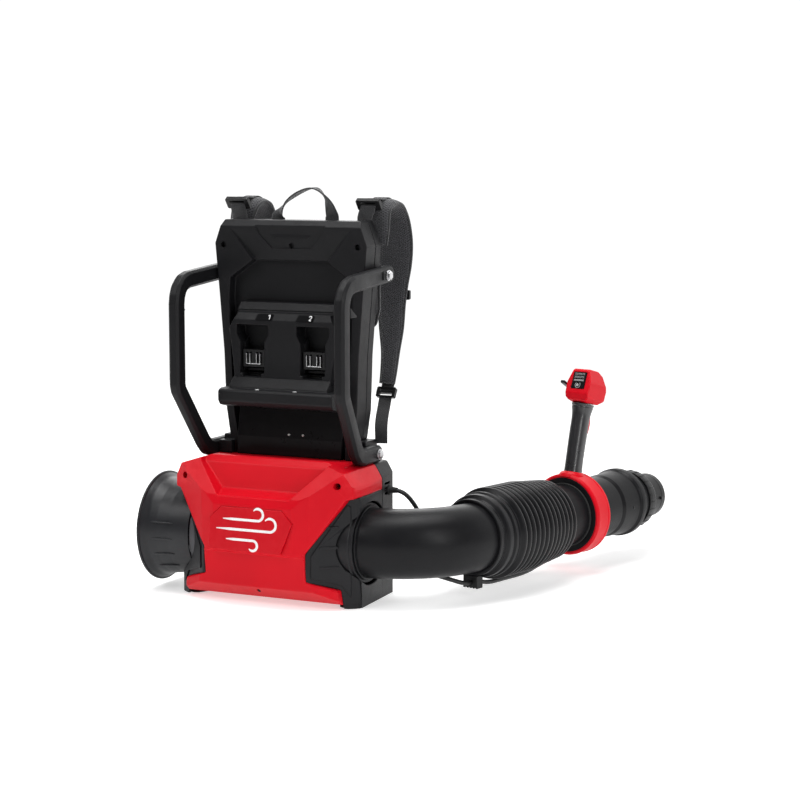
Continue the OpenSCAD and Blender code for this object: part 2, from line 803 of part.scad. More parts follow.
cable_r = 3.6;
cable_base_path = [[152, 30, 172], [159, 30, 172], [166, 30.4, 171.8], [174, 34, 170], [182, 40, 164],
    [190, 47, 152], [196, 53, 138], [200, 56, 120], [202, 56, 100], [203, 52, 80],
    [205, 44, 62], [211, 35, 52], [222, 27, 44.5], [238, 25, 40.5], [254, 29, 36],
    [267, 37, 31], [277, 46, 26.5], [283, 54, 24.4]];

module cable_gland() {
    color([0.08, 0.08, 0.08]) translate([147, 30, 172]) rotate([0, 90, 0])
        ring(cable_r + 0.2, 7, 0, 15);
}

module cable_base() {
    color([0.06, 0.06, 0.06]) cable(concat(cable_base_path, [tube_point([3.2, 0, -74])]), cable_r);
}

// ---------- elbow and bellows ----------

// Solid bent bar of radius r, a little thicker in its straight ends, which are lead and tail long
module elbow_core(r, lead, tail) {
    translate([outlet_x, fan_y + elbow_bend_r, fan_z]) rotate([0, 0, -90])
        rotate_extrude(angle = elbow_angle, $fn = 96) translate([elbow_bend_r, 0])
        circle(r, $fn = 64);
    on_fan_axis() translate([0, 0, outlet_x - lead]) cylinder(h = lead + 1, r = r + end_step);
    on_tube_axis(-1) cylinder(h = tail + 1, r = r + end_step);
}

module elbow_tube() {
    color([0.17, 0.17, 0.18]) {
        difference() {
            elbow_core(elbow_r, 21, 26);
            elbow_core(elbow_r - tube_wall, 23, 28);
        }
        on_fan_axis() ring(elbow_r - 0.8, elbow_r + 4, 157.3, 161);
    }
}

// Folded wall of the bellows: out and in again once per fold, narrower near the nozzle
function fold_taper(i) = i < 7 ? 0 : (i - 6) * 1.2;
function fold_out(i) = fold_r - fold_taper(i);
function fold_profile(i, d) = let (x = cuff_len + i * fold_pitch, a = fold_out(i) - d, b = a - 7)
    [[b, x], [a - 1, x + 3.2], [a, x + 5], [a, x + 7.6], [a - 1, x + 9.4], [b, x + 12.4]];

module bellows() {
    t = 2;
    end = bellows_len;
    outer = concat([[elbow_r + 5, 0.3], [elbow_r + 6, 2], [elbow_r + 6, 16], [68, 17.5],
        [68, 30], [70, 31.5], [70, 42]], [for (i = [0:fold_count - 1]) each fold_profile(i, 0)],
        [[tube_r + 3, end - 7], [tube_r + 3, end]]);
    inner = concat([[elbow_r + 0.7, 0.3], [elbow_r + 0.7, 16.5], [66, 19.5],
        [66, 32], [68, 33.5], [68, 42]],
        [for (i = [0:fold_count - 1]) each fold_profile(i, t)],
        [[tube_r + 0.4, end - 8], [tube_r + 0.4, end]]);
    color([0.12, 0.12, 0.13]) on_tube_axis(0) rotate_extrude($fn = 96)
        polygon(concat(outer, [for (i = [len(inner) - 1:-1:0]) inner[i]]));
}

module cable_clip() {
    color([0.08, 0.08, 0.08]) at_tube(8.5) {
        difference() {
            translate([-8, -14, -elbow_r - 27]) cube([16, 28, 21]);
            translate([-9, 0, -elbow_r - 18]) rotate([0, 90, 0]) cylinder(h = 18, r = cable_r + 0.3);
            rotate([0, 90, 0]) translate([0, 0, -9]) cylinder(h = 18, r = elbow_r + 6.2);
            for (y = [-11, -5, 1, 7]) translate([-9, y, -elbow_r - 28]) cube([18, 3, 3]);
        }
    }
}

// Point in the frame of the elbow's end, given along, beside and above the tube's axis
function tube_point(q) = elbow_end + [q[0] * cos(elbow_angle) - q[1] * sin(elbow_angle),
    q[0] * sin(elbow_angle) + q[1] * cos(elbow_angle), q[2]];

cable_elbow_path = [[4, 0, -74], [16, 0, -74.6], [30, 0, -77], [46, 0, -80.4], [66, 0, -82],
    [100, 0, -82], [140, 0, -82], [168, 0, -79.4], [188, 0, -75.6], [214, 0, -71.4]];
cable_tube_path = [[214.6, 0, -71.4], [226, 0, -69.4], [238, 0, -67.6]];
cable_liner_path = [[238.5, 0, -67.6], [249, 0, -65.8], [258, 0, -64.6], [267.8, 0, -64]];

module cable_elbow() {
    color([0.06, 0.06, 0.06]) cable([for (q = cable_elbow_path) tube_point(q)], cable_r);
}

module cable_tube() {
    color([0.06, 0.06, 0.06]) cable([for (q = cable_tube_path) tube_point(q)], cable_r);
}

module cable_liner() {
    color([0.06, 0.06, 0.06]) cable([for (q = cable_liner_path) tube_point(q)], cable_r);
}

// ---------- straight tube and nozzle spigot ----------

module swivel_tube() {
    s0 = bellows_len - 20;
    color([0.17, 0.17, 0.18]) on_tube_axis(0) difference() {
        rotate_extrude($fn = 96) polygon([[tube_r, s0], [tube_r, 372], [54.5, 378],
            [56, 422], [59.5, 426], [59.5, 437], [56, 441], [50, 452], [48, 455], [48, 480],
            [48 - tube_wall, 480], [48 - tube_wall, 454], [54 - tube_wall, 438],
            [54 - tube_wall, 426], [54 - tube_wall, 380], [tube_r - tube_wall, 372],
            [tube_r - tube_wall, s0]]);
        rotate(-90) translate([40, 0, 402]) rotate([0, 90, 0]) cylinder(h = 30, r = 2.2);
    }
}

module nozzle_spigot() {
    color([0.12, 0.12, 0.13]) {
        on_tube_axis(0) rotate_extrude($fn = 96) polygon([[48.2, 463], [50.5, 463],
            [50.5, 481], [46, 489], [spigot_r - 0.4, 494], [spigot_r - 0.4, 519.4],
            [spigot_r, 519.4], [spigot_r, 531], [spigot_r - 3, 531],
            [spigot_r - 3, 494], [43, 486], [45, 480.2], [48.2, 480.2]]);
        at_tube(516) for (a = [90, 270]) rotate([a, 0, 0])
            translate([0, 0, spigot_r - 1]) cylinder(h = 4.5, r = 3);
    }
}

// ---------- control handle ----------

module clamp_liner() {
    color([0.07, 0.07, 0.07]) on_tube_axis(0)
        ring(tube_r + running, tube_r + 3, ring_s - ring_w / 2 - 2, ring_s + ring_w / 2 + 2);
}

module clamp_ring() {
    r_in = tube_r + 3 + running;
    color("crimson") {
        difference() {
            union() {
                on_tube_axis(ring_s) rotate_extrude($fn = 96) polygon([[r_in, -ring_w / 2],
                    [ring_r - 3, -ring_w / 2], [ring_r, -ring_w / 2 + 3],
                    [ring_r, ring_w / 2 - 3], [ring_r - 3, ring_w / 2], [r_in, ring_w / 2]]);
                at_ears() translate([-12, -10, -ring_r - 12]) cube([24, 20, 18]);
                at_handle() translate([0, 0, 56]) cylinder(h = 15.5, r = 19);
            }
            on_tube_axis(ring_s) translate([0, 0, -60]) cylinder(h = 120, r = r_in);
            at_ears() translate([-30, -1.2, -ring_r - 20]) cube([60, 2.4, 38]);
            at_ears() translate([0, 20, -ring_r - 6]) rotate([90, 0, 0])
                cylinder(h = 40, r = 3.2);
            at_handle() translate([0, 0, grip_h0]) linear_extrude(40) grip_section(0.1);
        }
    }
}

module clamp_screw() {
    color("dimgray") at_ears() translate([0, 14, -ring_r - 6]) rotate([90, 0, 0]) {
        cylinder(h = 27, r = 3);
        cylinder(h = 3.8, r = 6, $fn = 6);
        translate([0, 0, 24.2]) cylinder(h = 4, r = 6);
    }
}

module grip_section(grow) {
    for (x = [-2, 2]) translate([x, 0]) circle(grip_w / 2 + grow);
    square([4, grip_w + 2 * grow], center = true);
}

module handle_grip() {
    color([0.15, 0.15, 0.16]) at_handle() difference() {
        union() {
            translate([0, 0, grip_h0]) linear_extrude(grip_h1 - grip_h0) grip_section(0);
            translate([0, 0, grip_h1 - 14]) linear_extrude(14) grip_section(2.5);
        }
        translate([0, 0, 120]) linear_extrude(80) translate([-9, -8]) square([20, 16]);
        translate([0, 0, grip_h0 - 1]) cylinder(h = 80, r = 6);
        // Pin hole and slot of the trigger
        trigger_at() translate([0, 7, 0]) rotate([90, 0, 0]) cylinder(h = 14, r = 2.05);
        translate([4, -6, 132]) cube([20, 12, 60]);
    }
}

module head_body(shrink) {
    s = shrink;
    intersection() {
        translate([0, 40, 0]) rotate([90, 0, 0]) linear_extrude(80) polygon([[-22 + s, 191 + s],
            [-26 + s, 203], [-20 + s, 243 - s], [-17 + s, 246 - s], [8, 247 - s], [22 - s, 239],
            [31 - s, 216], [29 - s, 198 + s], [20, 189 + s], [-10, 187.6 + s]]);
        translate([40, 0, 0]) rotate([0, -90, 0]) linear_extrude(80) polygon([[187 + s, -14],
            [196, -23 + s], [222, -24 + s], [246 - s, -16 + s], [246 - s, 16 - s],
            [222, 24 - s], [196, 23 - s], [187 + s, 14]]);
    }
}

module handle_head() {
    color("crimson") at_handle() difference() {
        head_body(0);
        head_body(2.6);
        // Opening over the grip, for the trigger
        translate([-9, -8, 180]) cube([20, 16, 14]);
        translate([6, -6.5, 180]) cube([30, 13, 16]);
        // Window of the control panel
        panel_frame() translate([-13.2, -3, -14.2]) cube([26.4, 8, 29]);
        // Bearing of the cruise lever
        translate([3, 30, 212]) rotate([90, 0, 0]) cylinder(h = 12, r = 3.2 + running);
    }
}

// Frame of the control panel: local Y points into the head
module panel_frame() {
    translate([-23.1, 0, 225]) rotate([0, 0, -90]) rotate([-8.5, 0, 0]) children();
}

module control_panel() {
    color([0.05, 0.05, 0.05]) at_handle() panel_frame() difference() {
        translate([-13, -0.6, -14]) cube([26, 5, 28.6]);
        translate([0, -2, -8.4]) rotate([-90, 0, 0]) cylinder(h = 10, r = 3.7);
        for (x = [-8, -2.7, 2.7, 8], z = [10, 4]) translate([x, -2, z]) rotate([-90, 0, 0])
            cylinder(h = 2.2, r = 1);
    }
}

module power_button() {
    color([0.25, 0.25, 0.26]) at_handle() panel_frame() translate([0, -1.4, -8.4])
        rotate([-90, 0, 0]) cylinder(h = 5, r = 3.4);
}

module switch_block() {
    color([0.2, 0.25, 0.3]) at_handle() {
        translate([-8.6, -7.6, 150]) cube([8, 15.2, 34]);
    }
}

module trigger_at() {
    translate([12, 0, 184]) children();
}

module trigger() {
    color("crimson") at_handle() trigger_at() {
        difference() {
            union() {
                translate([0, 5.4, 0]) rotate([90, 0, 0]) linear_extrude(10.8) polygon([[-4, 3],
                    [4.4, 3], [8.6, -10], [11.4, -30], [9.5, -45], [5.5, -47], [4, -43],
                    [4.5, -30], [-1, -8]]);
                translate([0, 5.4, 0]) rotate([90, 0, 0]) cylinder(h = 10.8, r = 4.4);
            }
            translate([0, 9, 0]) rotate([90, 0, 0]) cylinder(h = 18, r = 2.06);
        }
    }
}

module trigger_spring() {
    color("silver") at_handle() {
        // Pivot pin and the flat return spring that it carries
        trigger_at() translate([0, 6.4, 0]) rotate([90, 0, 0]) cylinder(h = 12.8, r = 2);
        translate([2, -3, 150]) cube([1, 6, 20]);
    }
}

module cruise_lever() {
    color([0.08, 0.08, 0.08]) at_handle() translate([3, 0, 212]) {
        difference() {
            translate([0, 24.4, 0]) rotate([-90, 0, 0]) cylinder(h = 5, r = 9);
            translate([-20, 20, 4]) cube([40, 20, 20]);
        }
        translate([0, 18, 0]) rotate([-90, 0, 0]) cylinder(h = 8, r = 3.2);
        rotate([0, 15, 0]) translate([-33, 25.4, -2.6]) cube([32, 8, 5]);
    }
}

// ---------- assembly ----------

rear_housing();
base_shell();
outlet_cheek();
intake_cheek();
intake_bell();
intake_screen();
badge_plate();
foot_pads();
fan_duct();
motor_pod();
motor_stator();
motor_bearings();
outlet_collar();
frame_rear_shell();
frame_front_shell();
bay_cover();
terminal_blocks();
terminal_blades();
battery_shelf();
lower_panel();
indicator_lamps();
guard_bar_left();
guard_bar_right();
bar_bolts();
case_screws();
control_board();
back_pad();
lumbar_pad();
shoulder_strap_left();
shoulder_strap_right();
top_webbing();
ladder_locks();
lower_webbing();
lower_buckles();
grab_handle();
chest_clips();
cable_gland();
cable_base();
motor_rotor();
motor_shaft();
fan_rotor();
elbow_tube();
bellows();
cable_clip();
cable_elbow();
swivel_tube();
cable_tube();
nozzle_spigot();
clamp_liner();
cable_liner();
clamp_ring();
clamp_screw();
handle_grip();
handle_head();
switch_block();
control_panel();
trigger();
trigger_spring();
cruise_lever();
power_button();
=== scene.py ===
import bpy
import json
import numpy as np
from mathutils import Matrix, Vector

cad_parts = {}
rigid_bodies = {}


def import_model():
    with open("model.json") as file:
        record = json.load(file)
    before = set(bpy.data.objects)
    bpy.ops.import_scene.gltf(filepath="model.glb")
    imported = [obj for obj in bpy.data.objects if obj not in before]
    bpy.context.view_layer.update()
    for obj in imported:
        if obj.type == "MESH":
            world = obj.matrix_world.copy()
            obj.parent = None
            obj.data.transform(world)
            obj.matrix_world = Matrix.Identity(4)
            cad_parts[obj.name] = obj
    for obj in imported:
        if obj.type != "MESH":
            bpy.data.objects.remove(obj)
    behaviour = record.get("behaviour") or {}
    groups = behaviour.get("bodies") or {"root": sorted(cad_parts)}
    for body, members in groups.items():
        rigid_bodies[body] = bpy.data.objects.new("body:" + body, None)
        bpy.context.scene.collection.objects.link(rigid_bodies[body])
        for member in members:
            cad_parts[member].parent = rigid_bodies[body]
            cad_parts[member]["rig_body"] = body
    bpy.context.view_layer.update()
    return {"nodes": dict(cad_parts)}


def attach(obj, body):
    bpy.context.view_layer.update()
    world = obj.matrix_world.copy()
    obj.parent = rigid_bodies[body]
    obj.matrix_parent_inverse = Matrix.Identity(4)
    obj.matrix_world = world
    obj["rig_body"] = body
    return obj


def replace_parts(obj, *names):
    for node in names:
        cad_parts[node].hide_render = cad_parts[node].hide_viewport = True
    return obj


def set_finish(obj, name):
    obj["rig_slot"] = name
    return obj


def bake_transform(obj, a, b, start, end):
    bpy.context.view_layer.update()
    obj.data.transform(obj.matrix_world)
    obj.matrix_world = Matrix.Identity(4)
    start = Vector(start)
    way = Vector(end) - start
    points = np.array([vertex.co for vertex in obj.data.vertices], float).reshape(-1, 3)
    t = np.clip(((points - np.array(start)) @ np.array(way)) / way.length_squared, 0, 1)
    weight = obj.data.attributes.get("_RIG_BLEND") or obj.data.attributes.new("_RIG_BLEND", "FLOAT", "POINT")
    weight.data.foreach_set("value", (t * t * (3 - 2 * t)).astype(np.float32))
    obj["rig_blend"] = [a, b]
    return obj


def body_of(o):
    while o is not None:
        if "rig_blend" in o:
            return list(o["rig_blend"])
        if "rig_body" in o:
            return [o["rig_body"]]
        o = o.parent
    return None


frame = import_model()

import json
import math
from contextlib import contextmanager

import bmesh
import bpy
from mathutils import Matrix, Vector, noise

SCENE = bpy.context.scene
MM = Matrix.Scale(0.001, 4)
Z_AXIS, X_AXIS = Vector((0, 0, 1)), Vector((1, 0, 0))


def T(x, y, z):
    return Matrix.Translation((x, y, z))


def R(degrees, axis):
    return Matrix.Rotation(math.radians(degrees), 4, axis)


# ---------- places, in millimetres, as in the CAD model ----------

FAN_Y, FAN_Z = -45, 98
OUTLET_X, BEND_R, BEND_ANGLE = 150, 140, 76
ELBOW_R, TUBE_R, WALL, RING_S, SPIGOT_R = 56, 52, 2.5, 288, 39
ELBOW_END = Vector((OUTLET_X + BEND_R * math.sin(math.radians(BEND_ANGLE)),
    FAN_Y + BEND_R * (1 - math.cos(math.radians(BEND_ANGLE))), FAN_Z))
FAN = T(0, FAN_Y, FAN_Z) @ R(90, "Y")
GRIP_LEAN = 14


def tube(s=0):
    """Frame at distance s beyond the elbow: X along the tube, Z up."""
    return Matrix.Translation(ELBOW_END) @ R(BEND_ANGLE, "Z") @ T(s, 0, 0)


def tube_axis(s=0):
    return tube(s) @ R(90, "Y")


HANDLE = tube(RING_S - 12) @ T(0, 0, 4) @ R(GRIP_LEAN, "Y")
EARS = tube(RING_S) @ R(90, "X")
PANEL = HANDLE @ T(-23.1, 0, 225) @ R(-90, "Z") @ R(-8.5, "X")

# ---------- materials ----------


class Graph:
    """Short hand for building the nodes of one material or world."""

    def __init__(self, name, holders=bpy.data.materials, shader="Principled BSDF"):
        self.owner = holders.new(name)
        self.owner.use_nodes = True
        self.tree = self.owner.node_tree
        self.shader = self.tree.nodes[shader]

    def node(self, kind, **inputs):
        made = self.tree.nodes.new("ShaderNode" + kind)
        for key, value in inputs.items():
            self.put(made, key, value)
        return made

    def put(self, made, key, value):
        """Property set_x, input number i0, or an input's name with _ for a space."""
        if key.startswith("set_"):
            setattr(made, key[4:], value)
            return
        numbered = key[0] == "i" and key[1:].isdigit()
        target = made.inputs[int(key[1:]) if numbered else key.replace("_", " ")]
        if isinstance(value, bpy.types.NodeSocket):
            self.tree.links.new(value, target)
        else:
            target.default_value = value

    def shade(self, **inputs):
        for key, value in inputs.items():
            self.put(self.shader, key, value)
        return self.owner

    def math(self, operation, a, b=0.0, c=0.0):
        return self.node("Math", set_operation=operation, i0=a, i1=b, i2=c).outputs[0]

    def times(self, a, b):
        return self.math("MULTIPLY", a, b)

    def noise(self, vector, scale, detail=3.0, rough=0.5):
        return self.node("TexNoise", Vector=vector, Scale=scale, Detail=detail,
            Roughness=rough).outputs["Fac"]

    def ramp(self, value, low, high, a=0.0, b=1.0):
        return self.node("MapRange", Value=value, From_Min=low, From_Max=high, To_Min=a,
            To_Max=b).outputs[0]

    def mix(self, factor, a, b):
        return self.node("Mix", set_data_type="RGBA", i0=factor, i6=a, i7=b).outputs[2]

    def bump(self, height, strength, distance, below=None):
        extra = {"Normal": below} if below else {}
        return self.node("Bump", Strength=strength, Distance=distance, Height=height,
            **extra).outputs[0]

    def coordinates(self):
        return self.node("TexCoord").outputs["Object"]

    def along(self):
        made = self.node("Attribute", set_attribute_name="along")
        return self.node("SeparateXYZ", Vector=made.outputs["Vector"]).outputs[:2]


def tint(c, k):
    return (*(min(1, v * k) for v in c[:3]), 1)


def plastic(name, colour, rough, grain=1400, depth=0.25, wear=0.35, worn=None, coat=0.0,
        specular=0.5, spread=0.12):
    """Moulded plastic: fine grain, faint mottling, scuffed edges."""
    g = Graph(name)
    at = g.coordinates()
    fine = g.noise(at, 90, 5, 0.6)
    body = g.mix(g.ramp(g.noise(at, 9, 4), 0.3, 0.7), tint(colour, 1 - spread),
        tint(colour, 1 + spread))
    edge = g.node("NewGeometry").outputs["Pointiness"]
    scuff = g.times(g.ramp(edge, 0.515, 0.6, 0, wear), g.ramp(fine, 0.38, 0.62))
    body = g.mix(scuff, body, worn or tint(colour, 1.9))
    # Painted shade: darker colour in hollow creases, where Pointiness is low, broken up by noise
    crease_shade = g.times(g.ramp(edge, 0.485, 0.42, 0, 0.5), g.ramp(fine, 0.3, 0.7))
    streak = g.ramp(g.noise(at, 34, 6, 0.7), 0.3, 0.7, rough - 0.05, rough + 0.07)
    skin = g.bump(g.noise(at, grain, 2), depth, 0.0003)
    return g.shade(Base_Color=g.mix(crease_shade, body, tint(colour, 0.55)),
        Roughness=g.math("ADD", streak, g.times(scuff, 0.25)),
        Normal=g.bump(g.noise(at, 26, 2), 0.06, 0.002, skin), Specular_IOR_Level=specular,
        Coat_Weight=coat, Coat_Roughness=0.18)


def brushed(name, colour, rough):
    g = Graph(name)
    at = g.coordinates()
    n = g.noise(at, 420, 4, 0.6)
    return g.shade(Base_Color=g.mix(g.ramp(g.noise(at, 60), 0.3, 0.7), tint(colour, 0.82),
        tint(colour, 1.1)), Roughness=g.ramp(n, 0.3, 0.7, rough - 0.08, rough + 0.12),
        Normal=g.bump(n, 0.12, 0.0002), Metallic=1.0)


def webbing(name, colour, across=760, down=420):
    """Woven tape: a twill of threads laid out across and down the strip."""
    g = Graph(name)
    u, v = g.along()
    slant = g.math("MULTIPLY_ADD", v, float(down), g.times(u, float(across) * 0.5))
    warp = g.math("ABSOLUTE", g.math("SINE", g.times(u, across * math.pi)))
    weft = g.math("ABSOLUTE", g.math("SINE", g.times(slant, math.pi)))
    height = g.times(warp, g.math("MULTIPLY_ADD", weft, 0.7, 0.3))
    lint = g.noise(g.coordinates(), 1800, 3, 0.7)
    # Painted shade between the threads and painted highlight on their crests, from thread height, mixed with
    # random lint
    lint_and_painted_shade = g.math("MULTIPLY_ADD", lint, 0.45, g.times(height, 0.55))
    return g.shade(Base_Color=g.mix(lint_and_painted_shade, tint(colour, 0.4), tint(colour, 1.9)), Roughness=0.82,
        Sheen_Weight=0.35, Sheen_Roughness=0.45, Normal=g.bump(height, 0.9, 0.0007,
        g.bump(lint, 0.2, 0.0002)))


def mesh_fabric(name, colour):
    """Spacer mesh: knitted cells in staggered rows, with painted shade in their holes."""
    g = Graph(name)
    u, v = g.along()
    k = 2 * math.pi / 0.0034
    waves = [g.times(u, k)]
    waves += [g.math("MULTIPLY_ADD", v, k * way, g.times(u, -k * 0.5)) for way in (0.866, -0.866)]
    a, b, c = (g.math("COSINE", wave) for wave in waves)
    cell = g.ramp(g.math("ADD", a, g.math("ADD", b, c)), -1.2, 2.4)
    lint = g.noise(g.coordinates(), 2200, 3, 0.7)
    # Painted shade: the holes of the knit darker and its threads lighter, mixed with random lint
    lint_and_painted_shade = g.math("ADD", g.times(cell, 0.75), g.times(lint, 0.3))
    body = g.mix(lint_and_painted_shade, tint(colour, 1.7), tint(colour, 0.35))
    broad = g.ramp(g.noise(g.coordinates(), 22), 0.35, 0.7, 0, 0.3)
    return g.shade(Base_Color=g.mix(broad, body, tint(colour, 1.6)), Roughness=0.88,
        Sheen_Weight=0.3, Sheen_Roughness=0.5, Normal=g.bump(g.math("SUBTRACT", 1.0, cell), 0.85,
        0.0011, g.bump(lint, 0.25, 0.0003)))


def printed(name, colour, rough=0.4):
    g = Graph(name)
    n = g.noise(g.coordinates(), 300, 4, 0.6)
    return g.shade(Base_Color=g.mix(g.ramp(n, 0.3, 0.75), tint(colour, 1), tint(colour, 0.86)),
        Roughness=rough)


RED = plastic("red_shell", (0.56, 0.002, 0.010), 0.38, specular=0.11, depth=0.1, wear=0.3,
    worn=(0.86, 0.05, 0.06, 1), coat=0.02, spread=0.06)
RED_HANDLE = plastic("red_handle", (0.60, 0.003, 0.012), 0.36, specular=0.12, depth=0.1, wear=0.25,
    worn=(0.88, 0.06, 0.07, 1), coat=0.03, spread=0.05)
BADGE = plastic("badge", (0.50, 0.002, 0.009), 0.34, specular=0.12, depth=0.05, wear=0.2,
    worn=(0.8, 0.05, 0.06, 1), coat=0.04, spread=0.05)
BLACK = plastic("black_shell", (0.0085, 0.0085, 0.0098), 0.42, specular=0.22, grain=1100, depth=0.4)
FRAME = plastic("frame_plastic", (0.0072, 0.0072, 0.0082), 0.44, specular=0.17, grain=1000,
    depth=0.45)
GLOSS = plastic("gloss_black", (0.005, 0.0045, 0.005), 0.3, specular=0.15, depth=0.03, coat=0.04,
    wear=0.1)
BELL = plastic("bell_plastic", (0.010, 0.0105, 0.0125), 0.38, specular=0.32, grain=1300, depth=0.3)
RUBBER = plastic("rubber_black", (0.015, 0.015, 0.015), 0.72, grain=800, depth=0.4)
HOSE = plastic("hose_rubber", (0.006, 0.006, 0.007), 0.33, specular=0.2, grain=1500, depth=0.2,
    spread=0.18)
TUBE = plastic("tube_plastic", (0.008, 0.008, 0.009), 0.36, specular=0.13, grain=1500, depth=0.18,
    spread=0.16)
GRIP = plastic("grip_rubber", (0.016, 0.016, 0.0175), 0.29, specular=0.7, grain=1200, depth=0.08,
    wear=0.02)
CABLE = plastic("cable_rubber", (0.012, 0.012, 0.013), 0.42, grain=900, depth=0.25)
CLIP = plastic("clip_plastic", (0.007, 0.007, 0.0076), 0.36, specular=0.25, grain=1300, depth=0.2)
PAD = mesh_fabric("pad_fabric", (0.022, 0.022, 0.025))
WEB = webbing("webbing", (0.017, 0.017, 0.019))
BINDING = webbing("binding", (0.016, 0.016, 0.018), 900, 900)
STITCH = printed("stitching", (0.045, 0.045, 0.05), 0.8)
STEEL = brushed("steel", (0.62, 0.62, 0.63), 0.32)
DARK_STEEL = brushed("dark_steel", (0.03, 0.03, 0.032), 0.42)
COPPER = brushed("copper", (0.62, 0.28, 0.14), 0.35)
WHITE = printed("white_print", (0.86, 0.86, 0.86), 0.42)
GREY = printed("grey_print", (0.26, 0.26, 0.26), 0.5)
LABEL = plastic("label_black", (0.0035, 0.0035, 0.004), 0.6, specular=0.05, wear=0.1)
LAMP = printed("lamp_lens", (0.62, 0.64, 0.62), 0.2)
BOARD = printed("circuit_board", (0.02, 0.09, 0.04), 0.4)
MOTOR = plastic("motor_plastic", (0.04, 0.04, 0.045), 0.5)

# The materials that go with each slot of the record; print has no slot
SLOTS = {"red_shell": (RED, RED_HANDLE), "badge": (BADGE,), "black_shell": (BLACK, CLIP, MOTOR),
    "frame_plastic": (FRAME,), "gloss_black": (GLOSS, LABEL), "bell_plastic": (BELL,),
    "rubber_black": (RUBBER,), "hose_rubber": (HOSE,), "tube_plastic": (TUBE,),
    "grip_rubber": (GRIP,), "cable_rubber": (CABLE,), "pad_fabric": (PAD, STITCH),
    "webbing": (WEB, BINDING), "steel": (STEEL, DARK_STEEL), "lamp": (LAMP,)}

# ---------- mesh helpers ----------


def rounded(points, r, n=4, closed=True):
    """Corners of a 2-D or 3-D line cut back to arcs of radius r, or of a point's own radius."""
    dim = 3 if isinstance(points[0], Vector) and len(points[0]) == 3 else 2
    out, count = [], len(points)
    for i, p in enumerate(points):
        q = Vector(p[:dim])
        if not closed and i in (0, count - 1):
            out.append(q)
            continue
        own = p[2] if dim == 2 and len(p) > 2 else r
        u, v = Vector(points[i - 1][:dim]) - q, Vector(points[(i + 1) % count][:dim]) - q
        lu, lv = u.length, v.length
        if own <= 0 or lu < 1e-6 or lv < 1e-6:
            out.append(q)
            continue
        u, v = u / lu, v / lv
        angle = u.angle(v)
        if angle > math.pi - 0.03 or angle < 0.02:
            out.append(q)
            continue
        d = min(own / math.tan(angle / 2), 0.49 * lu, 0.49 * lv)
        centre = q + (u + v).normalized() * (d / math.cos(angle / 2))
        a0, a1 = q + u * d - centre, q + v * d - centre
        turn = math.pi - angle
        for k in range(n + 1):
            t = k / n
            out.append(centre + (a0 * math.sin((1 - t) * turn) + a1 * math.sin(t * turn))
                / math.sin(turn))
    return out


def spline(points, per=8):
    """Smooth line through points of any number of values."""
    out = []
    p = [tuple(map(float, q)) for q in points]
    for i in range(len(p) - 1):
        a, b, c, d = p[max(i - 1, 0)], p[i], p[i + 1], p[min(i + 2, len(p) - 1)]
        for k in range(per):
            t = k / per
            out.append(tuple(0.5 * (2 * b[j] + (c[j] - a[j]) * t
                + (2 * a[j] - 5 * b[j] + 4 * c[j] - d[j]) * t * t
                + (3 * b[j] - a[j] - 3 * c[j] + d[j]) * t ** 3) for j in range(len(b))))
    out.append(p[-1])
    return out


@contextmanager
def editing(mesh):
    """The mesh as a bmesh, written back at the end."""
    bm = bmesh.new()
    bm.from_mesh(mesh)
    yield bm
    bm.to_mesh(mesh)
    bm.free()


def merge(bm, dist):
    bmesh.ops.remove_doubles(bm, verts=bm.verts, dist=dist)


def face_out(bm):
    bmesh.ops.recalc_face_normals(bm, faces=bm.faces)


def rings_to_faces(rings, count, loop=False):
    """Faces between rings of count vertices, and over both ends unless the rings loop."""
    faces = [(i * count + j, i * count + (j + 1) % count,
        (i + 1) % rings * count + (j + 1) % count, (i + 1) % rings * count + j)
        for i in range(rings if loop else rings - 1) for j in range(count)]
    if not loop:
        faces += [tuple(range(count)), tuple((rings - 1) * count + j
            for j in reversed(range(count)))]
    return faces


def new_object(name, mesh):
    ob = bpy.data.objects.new(name, mesh)
    SCENE.collection.objects.link(ob)
    return ob


def build(name, verts, faces, mat, body, place=None, sharp=32, along=None):
    """New piece from vertices in millimetres, riding on a body."""
    mesh = bpy.data.meshes.new(name)
    m = MM @ place if place is not None else MM
    mesh.from_pydata([m @ Vector(v) for v in verts], [], faces)
    ob = new_object(name, mesh)
    if along:
        layer = mesh.attributes.new("along", "FLOAT_VECTOR", "POINT")
        layer.data.foreach_set("vector", [c for a in along for c in (a[0], a[1], 0.0)])
    with editing(mesh) as bm:
        merge(bm, 1e-6)
        face_out(bm)
    finish(ob, mat, sharp)
    if body:
        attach(ob, body)
    return ob


def paint(ob, mat):
    """Gives a piece its material and the slot of the record that goes with it."""
    ob.data.materials.clear()
    ob.data.materials.append(mat)
    for name, materials in SLOTS.items():
        if mat in materials:
            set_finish(ob, name)


def finish(ob, mat, sharp=32):
    """Material, and smooth faces with sharp edges."""
    if mat:
        paint(ob, mat)
    ob.data.shade_smooth()
    ob.data.set_sharp_from_angle(angle=math.radians(sharp))


def lathe(name, profile, place, mat, body, segs=144, sharp=32, r=0.0, n=4):
    """Closed profile of radius and height, turned about the place's Z axis."""
    points = rounded(profile, r, n) if r else [Vector(p[:2]) for p in profile]
    verts, along = [], []
    for i in range(segs):
        a = 2 * math.pi * i / segs
        for p in points:
            verts.append((p[0] * math.cos(a), p[0] * math.sin(a), p[1]))
            along.append((a * p[0] * 0.001, p[1] * 0.001))
    return build(name, verts, rings_to_faces(segs, len(points), True), mat, body, place, sharp,
        along)


def clean(ob):
    """Drops doubled vertices and the faces that a merge leaves without area."""
    with editing(ob.data) as bm:
        merge(bm, 2e-6)
        bmesh.ops.dissolve_degenerate(bm, edges=bm.edges, dist=1e-7)
        face_out(bm)
    return ob


def direction(path, i, closed=False):
    """Unit tangent of a line at point i."""
    n = len(path)
    if closed:
        return (path[(i + 1) % n] - path[i - 1]).normalized()
    return (path[min(i + 1, n - 1)] - path[max(i - 1, 0)]).normalized()


